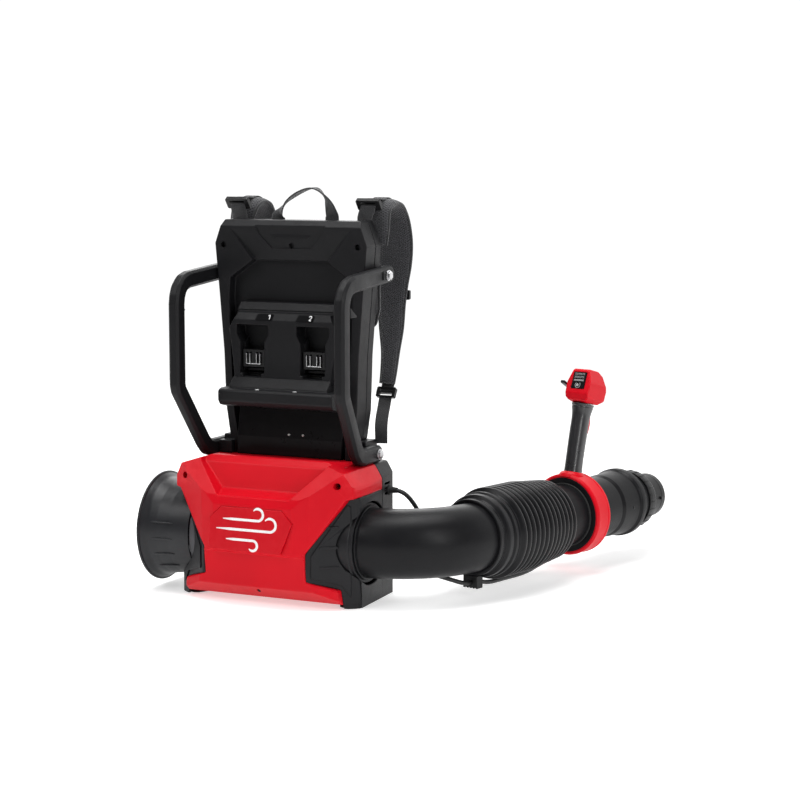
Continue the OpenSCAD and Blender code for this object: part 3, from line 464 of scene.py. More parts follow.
def sweep(name, path, section, mat, body, across=None, widths=None, sharp=40, place=None,
        closed=False):
    """Section, in millimetres, carried along a path; across gives its first direction."""
    path = [Vector(p[:3]) for p in path]
    verts, along, run, last = [], [], 0.0, None
    for i, p in enumerate(path):
        t = direction(path, i, closed)
        if across is not None:
            a = Vector(across[i] if isinstance(across, list) else across)
        else:
            a = last or (X_AXIS if abs(t.x) < 0.9 else Z_AXIS)
        last = a = (a - t * a.dot(t)).normalized()
        b = t.cross(a)
        if i:
            run += (path[i] - path[i - 1]).length
        w = widths[i] if widths else (1, 1)
        for q in section:
            verts.append(p + a * q[0] * w[0] + b * q[1] * w[1])
            along.append((q[0] * w[0] * 0.001 + q[1] * 0.0001, run * 0.001))
    return build(name, verts, rings_to_faces(len(path), len(section), closed), mat, body, place,
        sharp, along)


def flat_across(points):
    """For a stroke in the X-Z plane: the direction across it at each point."""
    before, after = [points[0]] + points[:-1], points[1:] + [points[-1]]
    return [(-(b - a).z, 0, (b - a).x) for a, b in zip(before, after)]


def arc(r, y, z, start, end, step):
    """Points of an arc in the X-Z plane, by angle from the top."""
    return [Vector((r * math.sin(math.radians(a)), y, z + r * math.cos(math.radians(a))))
        for a in range(start, end, step)]


def circle(r, n=20):
    return [(r * math.cos(2 * math.pi * i / n), r * math.sin(2 * math.pi * i / n))
        for i in range(n)]


def tape(w, t, r=None):
    """Cross-section of a flat band with rounded edges."""
    h, c = w / 2, t / 2
    return [tuple(q) for q in rounded([(h, c), (-h, c), (-h, -c), (h, -c)], r or c * 0.98, 3)]


def block(x, z0, z1):
    """Outline of a rectangle that is as wide to either side."""
    return [(-x, z0), (x, z0), (x, z1), (-x, z1)]


def prism(name, outline, a0, a1, mat, body, plane="xz", place=None, edge=0.0, r=0.0):
    """Outline carried along the axis that its plane leaves out, from a0 to a1."""
    pts = rounded(outline, r, 5) if r else [Vector(p[:2]) for p in outline]
    lift = {"xz": lambda p, a: (p[0], a, p[1]), "yz": lambda p, a: (a, p[0], p[1]),
        "xy": lambda p, a: (p[0], p[1], a)}[plane]
    k = len(pts)
    verts = [lift(p, a) for a in (a0, a1) for p in pts]
    faces = [tuple(range(k)), tuple(range(2 * k - 1, k - 1, -1))]
    faces += [(j, (j + 1) % k, k + (j + 1) % k, k + j) for j in range(k)]
    ob = build(name, verts, faces, mat, body, place)
    if edge:
        soften(ob, edge)
    return ob


def soften(ob, width, segs=3, angle=24):
    """Rounds the edges that turn sharply, each no more than its neighbours leave room for."""
    weight_name = "bevel_weight_edge"
    with editing(ob.data) as bm:
        short = {v.index: min((e.calc_length() for e in v.link_edges), default=0) for v in bm.verts}
        layers = bm.edges.layers.float
        layer = layers.get(weight_name) or layers.new(weight_name)
        for e in bm.edges:
            e[layer] = 0.0
            if len(e.link_faces) == 2 and e.calc_face_angle(0) > math.radians(angle):
                room = min(short[e.verts[0].index], short[e.verts[1].index]) * 1000
                weight = min(1.0, 0.4 * room / width)
                e[layer] = weight if weight > 0.08 else 0.0
    mod = ob.modifiers.new("edges", "BEVEL")
    mod.limit_method, mod.miter_outer, mod.use_clamp_overlap = "WEIGHT", "MITER_ARC", False
    mod.width, mod.segments = width * 0.001, segs
    ob.modifiers.new("normals", "WEIGHTED_NORMAL").keep_sharp = True


def evaluated(ob):
    """The mesh that the modifiers make."""
    graph = bpy.context.evaluated_depsgraph_get()
    graph.update()
    return bpy.data.meshes.new_from_object(ob.evaluated_get(graph))


def settle(ob):
    """Applies the modifiers to the mesh."""
    mesh, old = evaluated(ob), ob.data
    ob.modifiers.clear()
    ob.data = mesh
    mesh.name = ob.name
    bpy.data.meshes.remove(old)


def subdivide(ob):
    sub = ob.modifiers.new("fine", "SUBSURF")
    sub.levels = sub.render_levels = 1
    settle(ob)


def cad(node, mat, name=None, edge=1.2, segs=3, stands=True, angle=24):
    """Copy of a CAD node with merged faces, whose edges can be rounded."""
    source = frame["nodes"][node]
    ob = new_object(name or node + "_skin", source.data.copy())
    with editing(ob.data) as bm:
        merge(bm, 2e-5)
        bmesh.ops.dissolve_limit(bm, angle_limit=math.radians(0.6), verts=bm.verts, edges=bm.edges)
        face_out(bm)
    finish(ob, mat, 30)
    if edge:
        soften(ob, edge, segs, angle)
    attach(ob, body_of(source)[0])
    if stands:
        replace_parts(ob, node)
    return ob


def boolean(ob, other, operation="DIFFERENCE"):
    """Cuts or crosses ob, which has no modifiers yet, with the other piece."""
    mod = ob.modifiers.new("boolean", "BOOLEAN")
    mod.operation, mod.solver, mod.object = operation, "EXACT", other
    mesh, old = evaluated(ob), ob.data
    ob.modifiers.remove(mod)
    ob.data = mesh
    mesh.materials.clear()
    if old.materials:
        mesh.materials.append(old.materials[0])
    mesh.polygons.foreach_set("material_index", [0] * len(mesh.polygons))
    bpy.data.objects.remove(other)


def mirrored(ob, name):
    """Copy of a piece on the other side of the machine's middle plane."""
    made = new_object(name, ob.data.copy())
    made.data.transform(Matrix.Scale(-1, 4, (1, 0, 0)))
    made.data.flip_normals()
    for m in ob.modifiers:
        new = made.modifiers.new(m.name, m.type)
        for key, rna in m.bl_rna.properties.items():
            if not rna.is_readonly:
                setattr(new, key, getattr(m, key))
    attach(made, ob["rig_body"])
    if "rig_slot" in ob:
        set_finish(made, ob["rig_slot"])
    return made


def joined(name, obs, sharp=None):
    """One piece out of several with the same material and body."""
    body, mat = obs[0]["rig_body"], obs[0].data.materials[0]
    mesh = bpy.data.meshes.new(name)
    with editing(mesh) as bm:
        for o in obs:
            settle(o)
            bm.from_mesh(o.data)
    made = new_object(name, mesh)
    for o in obs:
        bpy.data.objects.remove(o)
    paint(made, mat)
    mesh.shade_smooth()
    if sharp:
        mesh.set_sharp_from_angle(angle=math.radians(sharp))
    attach(made, body)
    return made


# ---------- floor, light and camera ----------


def add_camera():
    azimuth, elevation, distance = math.radians(25), math.radians(7.1), 3.2878
    target = Vector((0.1899, 0.0, 0.3236))
    back = Vector((math.sin(azimuth) * math.cos(elevation),
        -math.cos(azimuth) * math.cos(elevation), math.sin(elevation)))
    data = bpy.data.cameras.new("camera")
    data.sensor_width, data.lens = 36, 92.95
    ob = new_object("camera", data)
    ob.location = target + back * distance
    ob.rotation_euler = (-back).to_track_quat("-Z", "Y").to_euler()
    SCENE.camera = ob


def add_light(name, where, look, size, power):
    data = bpy.data.lights.new(name, "AREA")
    data.shape, data.size, data.size_y = "RECTANGLE", size[0], size[1]
    data.energy = power
    ob = new_object(name, data)
    ob.location = where
    ob.rotation_euler = (Vector(look) - Vector(where)).to_track_quat("-Z", "Y").to_euler()


# Strength of the room and of the backdrop as the surfaces reflect them, and as the camera sees them
ROOM, BACKDROP, SEEN_SKY = 0.15, 1.5, 1.06
# Half the width of the floor in metres, and its glow
FLOOR, FLOOR_GLOW = 2.5, 0.52


def add_studio():
    g = Graph("floor")
    n = g.noise(g.coordinates(), 3)
    g.shade(Base_Color=g.mix(n, (0.70, 0.70, 0.70, 1), (0.72, 0.72, 0.72, 1)), Roughness=0.75,
        Specular_IOR_Level=0.2, Emission_Color=(1, 1, 1, 1), Emission_Strength=FLOOR_GLOW)
    mesh = bpy.data.meshes.new("floor")
    mesh.from_pydata([(x, y, 0) for x, y in block(FLOOR, -FLOOR, FLOOR)], [], [(0, 1, 2, 3)])
    floor = new_object("floor", mesh)
    mesh.materials.append(g.owner)
    # A white backdrop behind the machine in a dim room, so that the lights shape it.
    # The camera sees the sky white.
    sky = Graph("studio", bpy.data.worlds, "Background")
    parts = sky.node("SeparateXYZ", i0=sky.node("TexCoord").outputs["Generated"]).outputs
    wall = sky.ramp(parts[1], 0.1, 0.7, ROOM, BACKDROP)
    lid = sky.ramp(parts[2], 0.5, 0.85, 1.0, 0.3)
    seen = sky.node("LightPath").outputs["Is Camera Ray"]
    SCENE.world = sky.shade(Color=(1, 1, 1, 1), Strength=sky.ramp(seen, 0, 1, sky.times(wall, lid),
        SEEN_SKY))
    add_light("key", (-1.6, -2.2, 2.6), (0.1, 0, 0.25), (1.4, 1.4), 40)
    add_light("side", (2.6, -1.3, 1.5), (0.2, 0, 0.2), (0.4, 2.2), 34)
    add_light("top", (0.0, 0.1, 3.0), (0.1, 0, 0.2), (2.4, 1.6), 100)
    add_light("rim", (-1.4, 2.4, 1.8), (0.1, 0, 0.3), (1.6, 1.4), 18)


SCENE.view_settings.view_transform = "Standard"
SCENE.view_settings.look = "None"
add_camera()
add_studio()

# ---------- fan housing ----------

# How far a cheek's inner facet stands out, in metres
FACET_RISE = 0.0022
# Blades of the fan, the rows and columns of each, and the radii of its root and tip
BLADES, ROWS, COLS = 9, 9, 9
FAN_HUB, FAN_TIP = 29, 68.9


def make_housing():
    cad("rear_housing", RED, edge=2.6, segs=4, angle=9)
    for node in ("outlet_cheek", "intake_cheek", "base_shell"):
        cad(node, BLACK, edge=1.6, angle=14)
    # Raised inner facet of each cheek
    region = [(100, 87), (100, 52), (139, 39.5), (151, 20), (151, 164), (147, 167)]
    for node, side in (("outlet_cheek", 1), ("intake_cheek", -1)):
        ob = cad(node, BLACK, "facet_" + node, edge=0, stands=False)
        ob.data.transform(Matrix.Translation(Vector((0.598 * side, -0.802, 0)) * FACET_RISE))
        boolean(ob, prism("block", [(x * side, z) for x, z in region][::side], -170, -78, None,
            "base"), "INTERSECT")
        soften(clean(ob), 1.3, 3, 14)
    cad("foot_pads", RUBBER, edge=0.8)
    # Badge with a plain wind sign
    cad("badge_plate", BADGE, edge=1.3, angle=12)
    sign = T(0, -150.2, 124) @ R(-math.degrees(math.atan2(4.7, 72)), "X")
    strokes = [(-50, 12, 15, 9.5, 1), (-62, 34, -1, 10.5, 1), (-44, 4, -17, 8, -1)]
    for i, (x0, x1, z, r, turn) in enumerate(strokes):
        # Straight stroke that ends in a hook
        pts = [Vector((x0 + (x1 - x0) * k / 30, 0, z)) for k in range(30)]
        for a in map(math.radians, range(0, 236, 8)):
            pts.append(Vector((x1 + r * math.sin(a), 0, z + turn * r * (1 - math.cos(a)))))
        n = len(pts)
        w = [(min(1.0, 0.3 + 0.09 * k, 0.35 + 0.12 * (n - 1 - k)), 1) for k in range(n)]
        sweep("wind_sign_%d" % (i + 1), pts, tape(4.2, 0.9, 0.42), WHITE, "base",
            across=flat_across(pts), widths=w, place=sign)


def make_bell():
    rim = 222
    profile = [(87, -rim, 0.5), (90.4, -rim + 0.6, 1.6), (90.6, -rim + 4.4, 1.6),
        (87.6, -rim + 5, 1), (85.2, -rim + 9, 8), (81.2, -207, 20), (77.8, -192, 26),
        (75.6, -172, 18), (75.6, -133, 0.6), (73, -133, 0.6), (73, -172, 18), (75.2, -192, 26),
        (78.8, -208, 20), (84, -rim + 6, 8)]
    bell = lathe("bell", profile, FAN, BELL, "base", 192, 30, r=1, n=6)
    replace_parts(bell, "intake_bell")
    # Slim tapered fins on its rear flank
    path = spline([(-204, -78.4, 0), (-200, -78.6, 0), (-192, -78.0, 0), (-180, -76.8, 0),
        (-168, -76, 0), (-162, -75.6, 0)], 5)
    n = len(path)
    w = [(math.sin(math.pi * min(1, 0.08 + k / n)) ** 0.6,
        0.3 + math.sin(math.pi * k / (n - 1)) ** 0.7) for k in range(n)]
    for i, a in enumerate((-14, 6, 26, 46)):
        place = T(0, FAN_Y, FAN_Z) @ R(a, "X")
        sweep("bell_fin_%d" % (i + 1), path, circle(1.6, 12), BELL, "base", across=(0, 0, 1),
            widths=w, place=place)
    cad("intake_screen", CLIP, edge=0.7)


def blade_point(blade, side, i, j):
    """Point of a twisted fan blade: row i from the hub, column j across the chord."""
    out, u = i / (ROWS - 1), j / (COLS - 1)
    r = FAN_HUB + (FAN_TIP - FAN_HUB) * i / (ROWS - 1)
    pitch = math.radians(52 - 22 * i / (ROWS - 1))
    thick = side * 0.25
    if j not in (0, COLS - 1):
        thick = side * 1.5 * math.sin(math.pi * min(1, u * 0.9 + 0.08)) ** 0.7 * (1.25 - 0.5 * i
            / ROWS)
    x = (u - 0.5) * (31 + 5 * math.sin(math.pi * out))
    y = 2.4 * math.sin(math.pi * u) + thick
    h = -95 + x * math.sin(pitch) - y * math.cos(pitch) * 0.3
    a = 2 * math.pi * blade / BLADES + (x * math.cos(pitch) + y * math.sin(pitch)) / r
    return r * math.cos(a), r * math.sin(a), h


def make_fan():
    hub = [(0, -136), (8, -135.2), (14, -131), (21, -124.5), (26, -117), (29.4, -108), (30, -104),
        (30, -79, 0.8), (26, -79, 0.8), (26, -99), (10.4, -99), (10.4, -80, 0.6), (4.2, -80, 0.6),
        (4.2, -110), (0, -110)]
    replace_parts(clean(lathe("fan_hub", hub, FAN, MOTOR, "fan", 96, 30, r=0.4)), "fan_rotor")
    verts, faces = [], []
    for blade in range(BLADES):
        start = len(verts)
        verts += [blade_point(blade, side, i, j) for side in (1, -1) for i in range(ROWS)
            for j in range(COLS)]

        def quad(*corners):
            faces.append(tuple(start + s * ROWS * COLS + i * COLS + j for s, i, j in corners))

        for i in range(ROWS - 1):
            for j in range(COLS - 1):
                quad((0, i, j), (0, i, j + 1), (0, i + 1, j + 1), (0, i + 1, j))
                quad((1, i, j), (1, i + 1, j), (1, i + 1, j + 1), (1, i, j + 1))
            quad((0, i, 0), (0, i + 1, 0), (1, i + 1, 0), (1, i, 0))
            c = COLS - 1
            quad((0, i, c), (1, i, c), (1, i + 1, c), (0, i + 1, c))
        for i in (0, ROWS - 1):
            for j in range(COLS - 1):
                quad((0, i, j), (1, i, j), (1, i, j + 1), (0, i, j + 1))
    build("fan_blades", verts, faces, MOTOR, "fan", FAN, 50)


make_housing()
make_bell()
make_fan()

# ---------- carrying frame ----------


def make_frame():
    rear = cad("frame_rear_shell", FRAME, edge=0)
    # Inner panel set into the sloping one
    boolean(rear, prism("cut", [(-35, 559.5), (35, 559.5), (56, 581), (66, 600), (-66, 600),
        (-56, 581)], -20, 0, None, "base", place=T(0, -6.4, 0) @ T(0, -7.2, 559) @ R(9, "X")
        @ T(0, 7.2, -559)))
    soften(clean(rear), 1.7, 3, 12)
    prism("plain_plate", [(-33, 578), (33, 578), (44, 590), (-44, 590)], -10.2, -4, FRAME, "base",
        r=2, edge=0.8)
    cad("frame_front_shell", FRAME, edge=1.8, angle=14)
    cad("bay_cover", FRAME, edge=1.3, angle=12)
    cad("battery_shelf", FRAME, edge=1.9, segs=4, angle=12)
    cad("lower_panel", GLOSS, edge=1.6, angle=12)
    for x, side in ((-0.4, "left"), (25.1, "right")):
        lens = clean(lathe("lamp_lens_" + side, [(0, 0), (1.95, 0), (1.95, 7, 0.4), (1.5, 8.6, 1),
            (0, 9)], T(x, -12, 259) @ R(90, "X"), LAMP, "base", 32, r=0.5))
        if side == "left":
            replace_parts(lens, "indicator_lamps")
    cad("terminal_blocks", CLIP, edge=0.6)
    cad("terminal_blades", STEEL, edge=0.3, segs=2)
    make_bay_details()
    cad("case_screws", DARK_STEEL, edge=0.5)


def make_bay_details():
    rail = [(-30, 362), (-12.2, 362), (-12.2, 420), (-27, 408)]
    digits = ([(-2, 1.8), (0.6, 4), (0.6, -4)], [(-2.2, 2.2), (-1.2, 3.8), (1, 3.9), (2.1, 2.3),
        (1.6, 0.6), (-2.3, -3.9), (2.4, -3.9)])
    for number, name, x0, x1 in ((1, "left", -55, -23), (2, "right", 55, 51)):
        # Guide rails at each side of a bay, and the sill under its contacts
        for side in (-1, 1):
            x = x0 + side * 21.6
            prism("bay_rail_%s_%d" % (name, side + 2), rail, x - 1.1, x + 1.1, FRAME, "base", "yz",
                edge=0.6)
        prism("bay_sill_" + name, block(16, 362, 366.5), -26, -12.2, FRAME, "base",
            place=T(x0, 0, 0), edge=0.8)
        prism("blade_bridge_" + name, block(13.4, 373.6, 374.8), -37.6, -35.9, STEEL, "base",
            place=T(x0, 0, 0), edge=0.3)
        # Small pointer on the shelf in front of each bay
        prism("shelf_mark_" + name, [(-4.2, -0.6), (4.2, -0.6), (0, 4.6)], 0, 0.7, WHITE, "base",
            "xy", place=T(x0 * 0.62, -64, 335.1), r=0.5)
        # Number of the bay, on the slope above it
        place = T(x1, -40.2, 451.4) @ R(-28.6, "X")
        prism("bay_label_" + name, [(-26, -6.2), (3, -6.2), (6, 5.4), (-22, 5.4)], -0.15, 0.5,
            LABEL, "base", place=place, r=1, edge=0.2)
        pts = rounded([Vector((a, 0, b)) for a, b in digits[number - 1]], 0.8, 4, False)
        sweep("bay_number_%d" % number, pts, tape(1.5, 0.9, 0.3), WHITE, "base",
            across=flat_across(pts), place=place)


# Bolt at a guard bar's upper end, and the middle line of the bar: X, Y, Z
BOLT_Y = 24
BAR_LINE = [(147.5, 44, 521.4), (147.5, -88, 511.5), (147.5, -104, 507), (147.5, -114.5, 497),
    (147.5, -119.5, 486), (147.5, -121.5, 474), (147.5, -121.5, 345), (147.2, -119.4, 336),
    (139.2, -58, 246), (138.6, -47, 235.5), (138.5, -34, 232), (138.5, 20.5, 232)]


def make_bars():
    path = rounded([Vector(p) for p in BAR_LINE], 11, 6, False)
    # Ends closed off in two small steps, so that they look moulded
    first, last = path[0], path[-1]
    path = [first + Vector((0, 2, 0.15)), first + Vector((0, 1.2, 0.1)), *path,
        last + Vector((0, 1, 0)), last + Vector((0, 1.7, 0))]
    w = [(1, 1)] * len(path)
    w[0] = w[-1] = (0.84, 0.88)
    w[1] = w[-2] = (0.96, 0.97)
    a, b, c = 9.5, 13.4, 4.4
    section = rounded([(a, b - c), (a - c, b), (c - a, b), (-a, b - c), (-a, c - b), (c - a, -b),
        (a - c, -b), (a, c - b)], 1.5, 3)
    bar = sweep("guard_bar_right_skin", path, [tuple(q) for q in section], FRAME, "base",
        across=X_AXIS, widths=w, sharp=50)
    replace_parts(bar, "guard_bar_right")
    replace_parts(mirrored(bar, "guard_bar_left_skin"), "guard_bar_left")
    # Lug between bar and frame, the bolted plate outside, and the bolts
    z = 521.5 - (46 - BOLT_Y) * 0.0746
    parts = [lathe("lug", [(3.2, 0), (9, 0, 0.8), (9, 5), (3.2, 5)],
        T(134.9, BOLT_Y, z) @ R(90, "Y"), FRAME, "base", 48, r=0.6),
        prism("plate", [(6, 512), (44, 515), (44, 527.5), (38, 530), (10, 527.5), (6, 524)], 156.6,
        158.6, FRAME, "base", "yz", r=3, edge=0.8), prism("web",
        [(-109, 478), (-86, 462.5), (-88, 460.5), (-109, 461)], 152, 156.4, FRAME, "base", "yz",
        edge=1)]
    mirrored(joined("bar_fittings_right", parts, 34), "bar_fittings_left")
    bolts = []
    head = [(7.2 * math.cos(math.pi * k / 3), 7.2 * math.sin(math.pi * k / 3)) for k in range(6)]
    for y, z, x0, x1 in ((BOLT_Y, z, 127, 158.6), (12, 232, 118, 148)):
        place = T(0, y, z) @ R(90, "Y")
        bolts += [lathe("shank", [(0, x0), (3, x0, 0.6), (3, x1), (0, x1)], place, STEEL, "base",
            32, r=0.5), lathe("washer", [(0, x1), (8.6, x1, 0.3), (8.6, x1 + 1.2, 0.3),
            (0, x1 + 1.2)], place, STEEL, "base", 48, r=0.3),
            prism("head", head, x1 + 1.2, x1 + 5, STEEL, "base", "xy", place, edge=0.6)]
    made = joined("bar_bolts_right", [clean(o) for o in bolts], 34)
    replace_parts(made, "bar_bolts")
    mirrored(made, "bar_bolts_left")


make_frame()
make_bars()

# ---------- elbow, bellows and tubes ----------


def heading(degrees):
    a = math.radians(degrees)
    return Vector((math.cos(a), math.sin(a), 0))


def make_elbow():
    """Bent tube with a thin wall and thicker ends."""
    segs, steps, swell = 128, 48, 0.4
    centre = [(Vector((OUTLET_X + x, FAN_Y, FAN_Z)), X_AXIS, grow) for x,
        grow in ((-21, swell), (-8, swell), (-0.6, swell), (0.2, 0))]
    for i in range(1, steps):
        t = heading(BEND_ANGLE * i / steps)
        centre.append((Vector((OUTLET_X + BEND_R * t.y, FAN_Y + BEND_R - BEND_R * t.x, FAN_Z)), t,
            0))
    t = heading(BEND_ANGLE)
    for x, grow in ((-0.2, 0), (0.6, swell), (10, swell), (25.6, swell)):
        centre.append((ELBOW_END + t * x, t, grow))
    verts = []
    for inset, items in ((0, centre), (WALL, centre[::-1])):
        for p, t, grow in items:
            side, r = Vector((-t.y, t.x, 0)), ELBOW_R + grow - inset
            for k in range(segs):
                a = 2 * math.pi * k / segs
                verts.append(p + side * r * math.cos(a) + Z_AXIS * r * math.sin(a))
    faces = rings_to_faces(2 * len(centre), segs, True)
    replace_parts(build("elbow_skin", verts, faces, TUBE, "elbow", None, 40), "elbow_tube")
    lathe("elbow_bead", [(55.6, 157.4), (60, 157.4, 1), (60, 160.8, 1), (55.6, 160.8)], FAN, TUBE,
        "elbow", 128, r=0.8)
    collar = lathe("outlet_collar_skin", [(56.5, 128.4), (66.4, 128.4, 1), (66.4, 149.6, 1.2),
        (64.8, 151.4, 0.8), (64, 151.6, 0.3), (64, 156.8, 1.6), (56.5, 156.8, 0.6)], FAN, BLACK,
        "base", 144, r=0.8, n=5)
    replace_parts(collar, "outlet_collar")
    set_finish(collar, "rubber_black")


# Bellows: length of its cuff, and the pitch and the number of its folds
CUFF, PITCH, FOLDS = 46, 12.6, 13
BELLOWS_END = CUFF + FOLDS * PITCH + 10


def fold_out(i):
    return 76 - (0 if i < 7 else (i - 6) * 1.2)


def make_bellows():
    outer = [(61, 0.5, 0.8), (62.4, 1.6, 0.8), (62.4, 8, 1), (61.4, 9.2, 0.6), (61.4, 10.6, 0.6),
        (62.2, 11.8, 1), (62.2, 15, 1.4), (67.6, 17.2, 1.8), (68, 20, 1), (68, 27.6, 1.4),
        (66.6, 29.2, 1), (66.8, 31, 1), (70.2, 32.6, 1.6), (70.2, 38, 1.6), (68, 42, 2)]
    inner = [(56.8, 0.5, 0.4), (56.8, 16.5, 0.6), (65.2, 19.5, 0.8), (65.2, 41, 1)]
    for i in range(FOLDS):
        x, a = CUFF + i * PITCH, fold_out(i)
        outer += [(a - 7.2, x, 1.5), (a - 0.8, x + 3.3, 1.8), (a - 0.2, x + 6.2, 3.0),
            (a - 0.8, x + 9.2, 1.8), (a - 7.2, x + 12.4, 1.5)]
        inner += [(a - 9.4, x, 1), (a - 3, x + 4.2, 1.2), (a - 3, x + 8.2, 1.2),
            (a - 9.4, x + 12.4, 1)]
    outer += [(55.6, BELLOWS_END - 7.5, 1.2), (55.2, BELLOWS_END - 0.4, 0.8)]
    inner += [(52.5, BELLOWS_END - 8, 1), (52.5, BELLOWS_END - 0.4, 0.4)]
    ob = lathe("bellows_skin", outer + inner[::-1], tube_axis(), HOSE, None, 144, 60, r=1, n=4)
    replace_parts(ob, "bellows")
    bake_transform(ob, "elbow", "tube", tube(40).translation * 0.001, tube(196).translation * 0.001)


def make_tube():
    s0 = BELLOWS_END - 19.5
    outer = [(TUBE_R, s0, 0.8), (TUBE_R, 371, 4), (54.6, 378, 4), (56, 420, 3), (57.6, 423, 1),
        (59.6, 425.6, 1.4), (59.8, 431.5, 1.6), (59.6, 437, 1.6), (57, 440.6, 2), (51, 450.5, 3),
        (48, 456, 3), (48, 479.6, 0.6)]
    inner = [(TUBE_R - WALL, s0, 0.6), (TUBE_R - WALL, 372, 4), (52, 380, 3), (52, 436, 4),
        (45.6, 454, 3), (45.6, 479.6, 0.6)]
    ob = lathe("tube_skin", outer + inner[::-1], tube_axis(), TUBE, "tube", 160, 38, r=1, n=5)
    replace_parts(ob, "swivel_tube")
    # Small dimpled boss on the tube
    clean(lathe("tube_pin", [(0, 0), (2.6, 0), (2.6, 1.2, 0.5), (1.6, 1.9, 0.4), (0, 1.4)],
        tube(402) @ R(90, "X") @ T(0, 0, 54.6), CLIP, "tube", 32, r=0.3))
    profile = [(48.3, 463.4), (50.6, 463.4, 0.8), (50.9, 472, 1), (50.6, 481, 1.4), (46, 489, 2),
        (39.2, 493.2, 1.6), (38.6, 496, 1), (38.6, 519.2, 0.4), (39, 519.8, 0.3), (39, 530.8, 0.9),
        (36.2, 530.8, 0.6), (36.2, 494.4, 1.4), (43.2, 486.4, 1.4), (45.2, 480.4, 0.6),
        (48.3, 480.4, 0.2)]
    ob = lathe("spigot_skin", profile, tube_axis(), CLIP, "tube", 144, 34, r=0.6, n=4)
    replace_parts(ob, "nozzle_spigot")
    # Bayonet pins, and the grip ribs of the step
    parts = [clean(lathe("pin", [(0, 0), (3, 0), (3, 4.0, 0.8), (0, 4.4)],
        tube(516) @ R(a, "X") @ T(0, 0, SPIGOT_R - 1), CLIP, "tube", 32, r=0.4)) for a in (90, 270)]
    parts += [sweep("rib", [(465, 0, 50.5), (468, 0, 51.1), (474, 0, 51.2), (478, 0, 50.9),
        (481, 0, 50.2)], circle(0.9, 8), CLIP, "tube", across=(0, 1, 0), place=tube() @ R(a, "X"))
        for a in range(0, 360, 15)]
    joined("spigot_pins_and_ribs", parts, 40)


def point(q):
    return tube() @ Vector(q)


CABLE_R = 3.6
CABLE_BASE = [(150, 30, 172), (159, 30, 172), (166, 30.4, 171.8), (174, 34, 170), (182, 40, 164),
    (190, 47, 152), (196, 53, 138), (200, 56, 120), (202, 56, 100), (203, 52, 80), (205, 44, 62),
    (211, 35, 52), (222, 27, 44.5), (238, 25, 40.5), (254, 29, 36), (267, 37, 31), (277, 46, 26.5),
    (283, 54, 24.4)]
CABLE_ELBOW = [(4, 0, -74), (16, 0, -74.6), (30, 0, -77), (46, 0, -80.4), (66, 0, -82),
    (100, 0, -82), (140, 0, -82), (168, 0, -79.4), (188, 0, -75.6), (214, 0, -71.4)]
CABLE_TUBE = [(214.2, 0, -71.4), (226, 0, -69.4), (238, 0, -67.6)]
CABLE_LINER = [(238.2, 0, -67.6), (249, 0, -65.8), (258, 0, -64.6), (267.8, 0, -64)]


def make_cable():
    """Control cable from the housing to the clamp, held at both ends."""
    spans = [("cable_base", [*CABLE_BASE, point((3.4, 0, -74))], "base", "elbow",
        Vector((176, 33, 170)), point((0, 0, -74))), ("cable_elbow", map(point, CABLE_ELBOW),
        "elbow", "tube", point((30, 0, -78)), point((205, 0, -78))),
        ("cable_tube", map(point, CABLE_TUBE), "tube", "liner", point((214.5, 0, -71)),
        point((237, 0, -70))), ("cable_liner", map(point, CABLE_LINER), "liner", "handle",
        point((239, 0, -70)), point((270, 0, -70)))]
    for node, path, a, b, start, end in spans:
        ob = sweep(node + "_skin", spline(path, 6), circle(CABLE_R, 24), CABLE, None, sharp=60)
        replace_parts(ob, node)
        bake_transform(ob, a, b, start * 0.001, end * 0.001)
    gland = lathe("cable_gland_skin", [(3.8, 0), (6.9, 0), (6.9, 9, 0.6), (8.4, 9.2, 0.6),
        (8.4, 11.4, 0.8), (6.2, 12, 0.8), (5.8, 14.4, 0.5), (5.4, 14.8, 0.4), (5.2, 17, 0.5),
        (4.9, 17.4, 0.4), (4.7, 20, 0.5), (4.4, 24, 0.3), (3.75, 24, 0.2)],
        T(147, 30, 172) @ R(90, "Y"), RUBBER, "base", 64, r=0.4)
    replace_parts(gland, "cable_gland")


make_elbow()
make_bellows()
make_tube()
make_cable()
cad("cable_clip", CLIP, edge=0.8)

# ---------- control handle ----------

# Height of the power button's middle on the control panel
BUTTON_Z = -8.4


def make_ring():
    profile = [(63, -19.6, 0.5), (66.6, -19.6, 1.6), (70, -16.8, 1.8), (70, -13, 0.7),
        (69.2, -12, 0.7), (69.2, 12, 0.7), (70, 13, 0.7), (70, 16.8, 1.8), (66.6, 19.6, 1.6),
        (63, 19.6, 0.5)]
    ring = lathe("clamp_band", profile, tube_axis(RING_S), RED_HANDLE, "handle", 160, 36, r=0.8,
        n=5)
    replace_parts(ring, "clamp_ring")
    r_in = TUBE_R + 2.7
    lathe("clamp_lining", [(r_in, -20, 0.4), (64.4, -20, 1), (64.4, 20, 1), (r_in, 20, 0.4)],
        tube_axis(RING_S), TUBE, "handle", 160, 36, r=0.4)
    parts = [prism("ear", block(11.8, -81.6, -66), y, y + 8.5, RED_HANDLE, "handle", place=EARS,
        r=3, edge=1.2) for y in (-9.8, 1.3)]
    socket = lathe("socket", [(16.4, 58), (25, 58), (22.6, 64, 3), (18.8, 68.6, 2),
        (16.4, 68.6, 0.5)], HANDLE, RED_HANDLE, "handle", 96, r=0.6, n=4)
    parts.append(socket)
    joined("clamp_ears_and_socket", parts, 36)
    cad("clamp_screw", DARK_STEEL, edge=0.6)
    liner = lathe("clamp_liner_skin", [(52.1, -22, 0.3), (54.9, -22, 0.8), (54.9, 22, 0.8),
        (52.1, 22, 0.3)], tube_axis(RING_S), RUBBER, "liner", 144, r=0.4)
    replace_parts(liner, "clamp_liner")


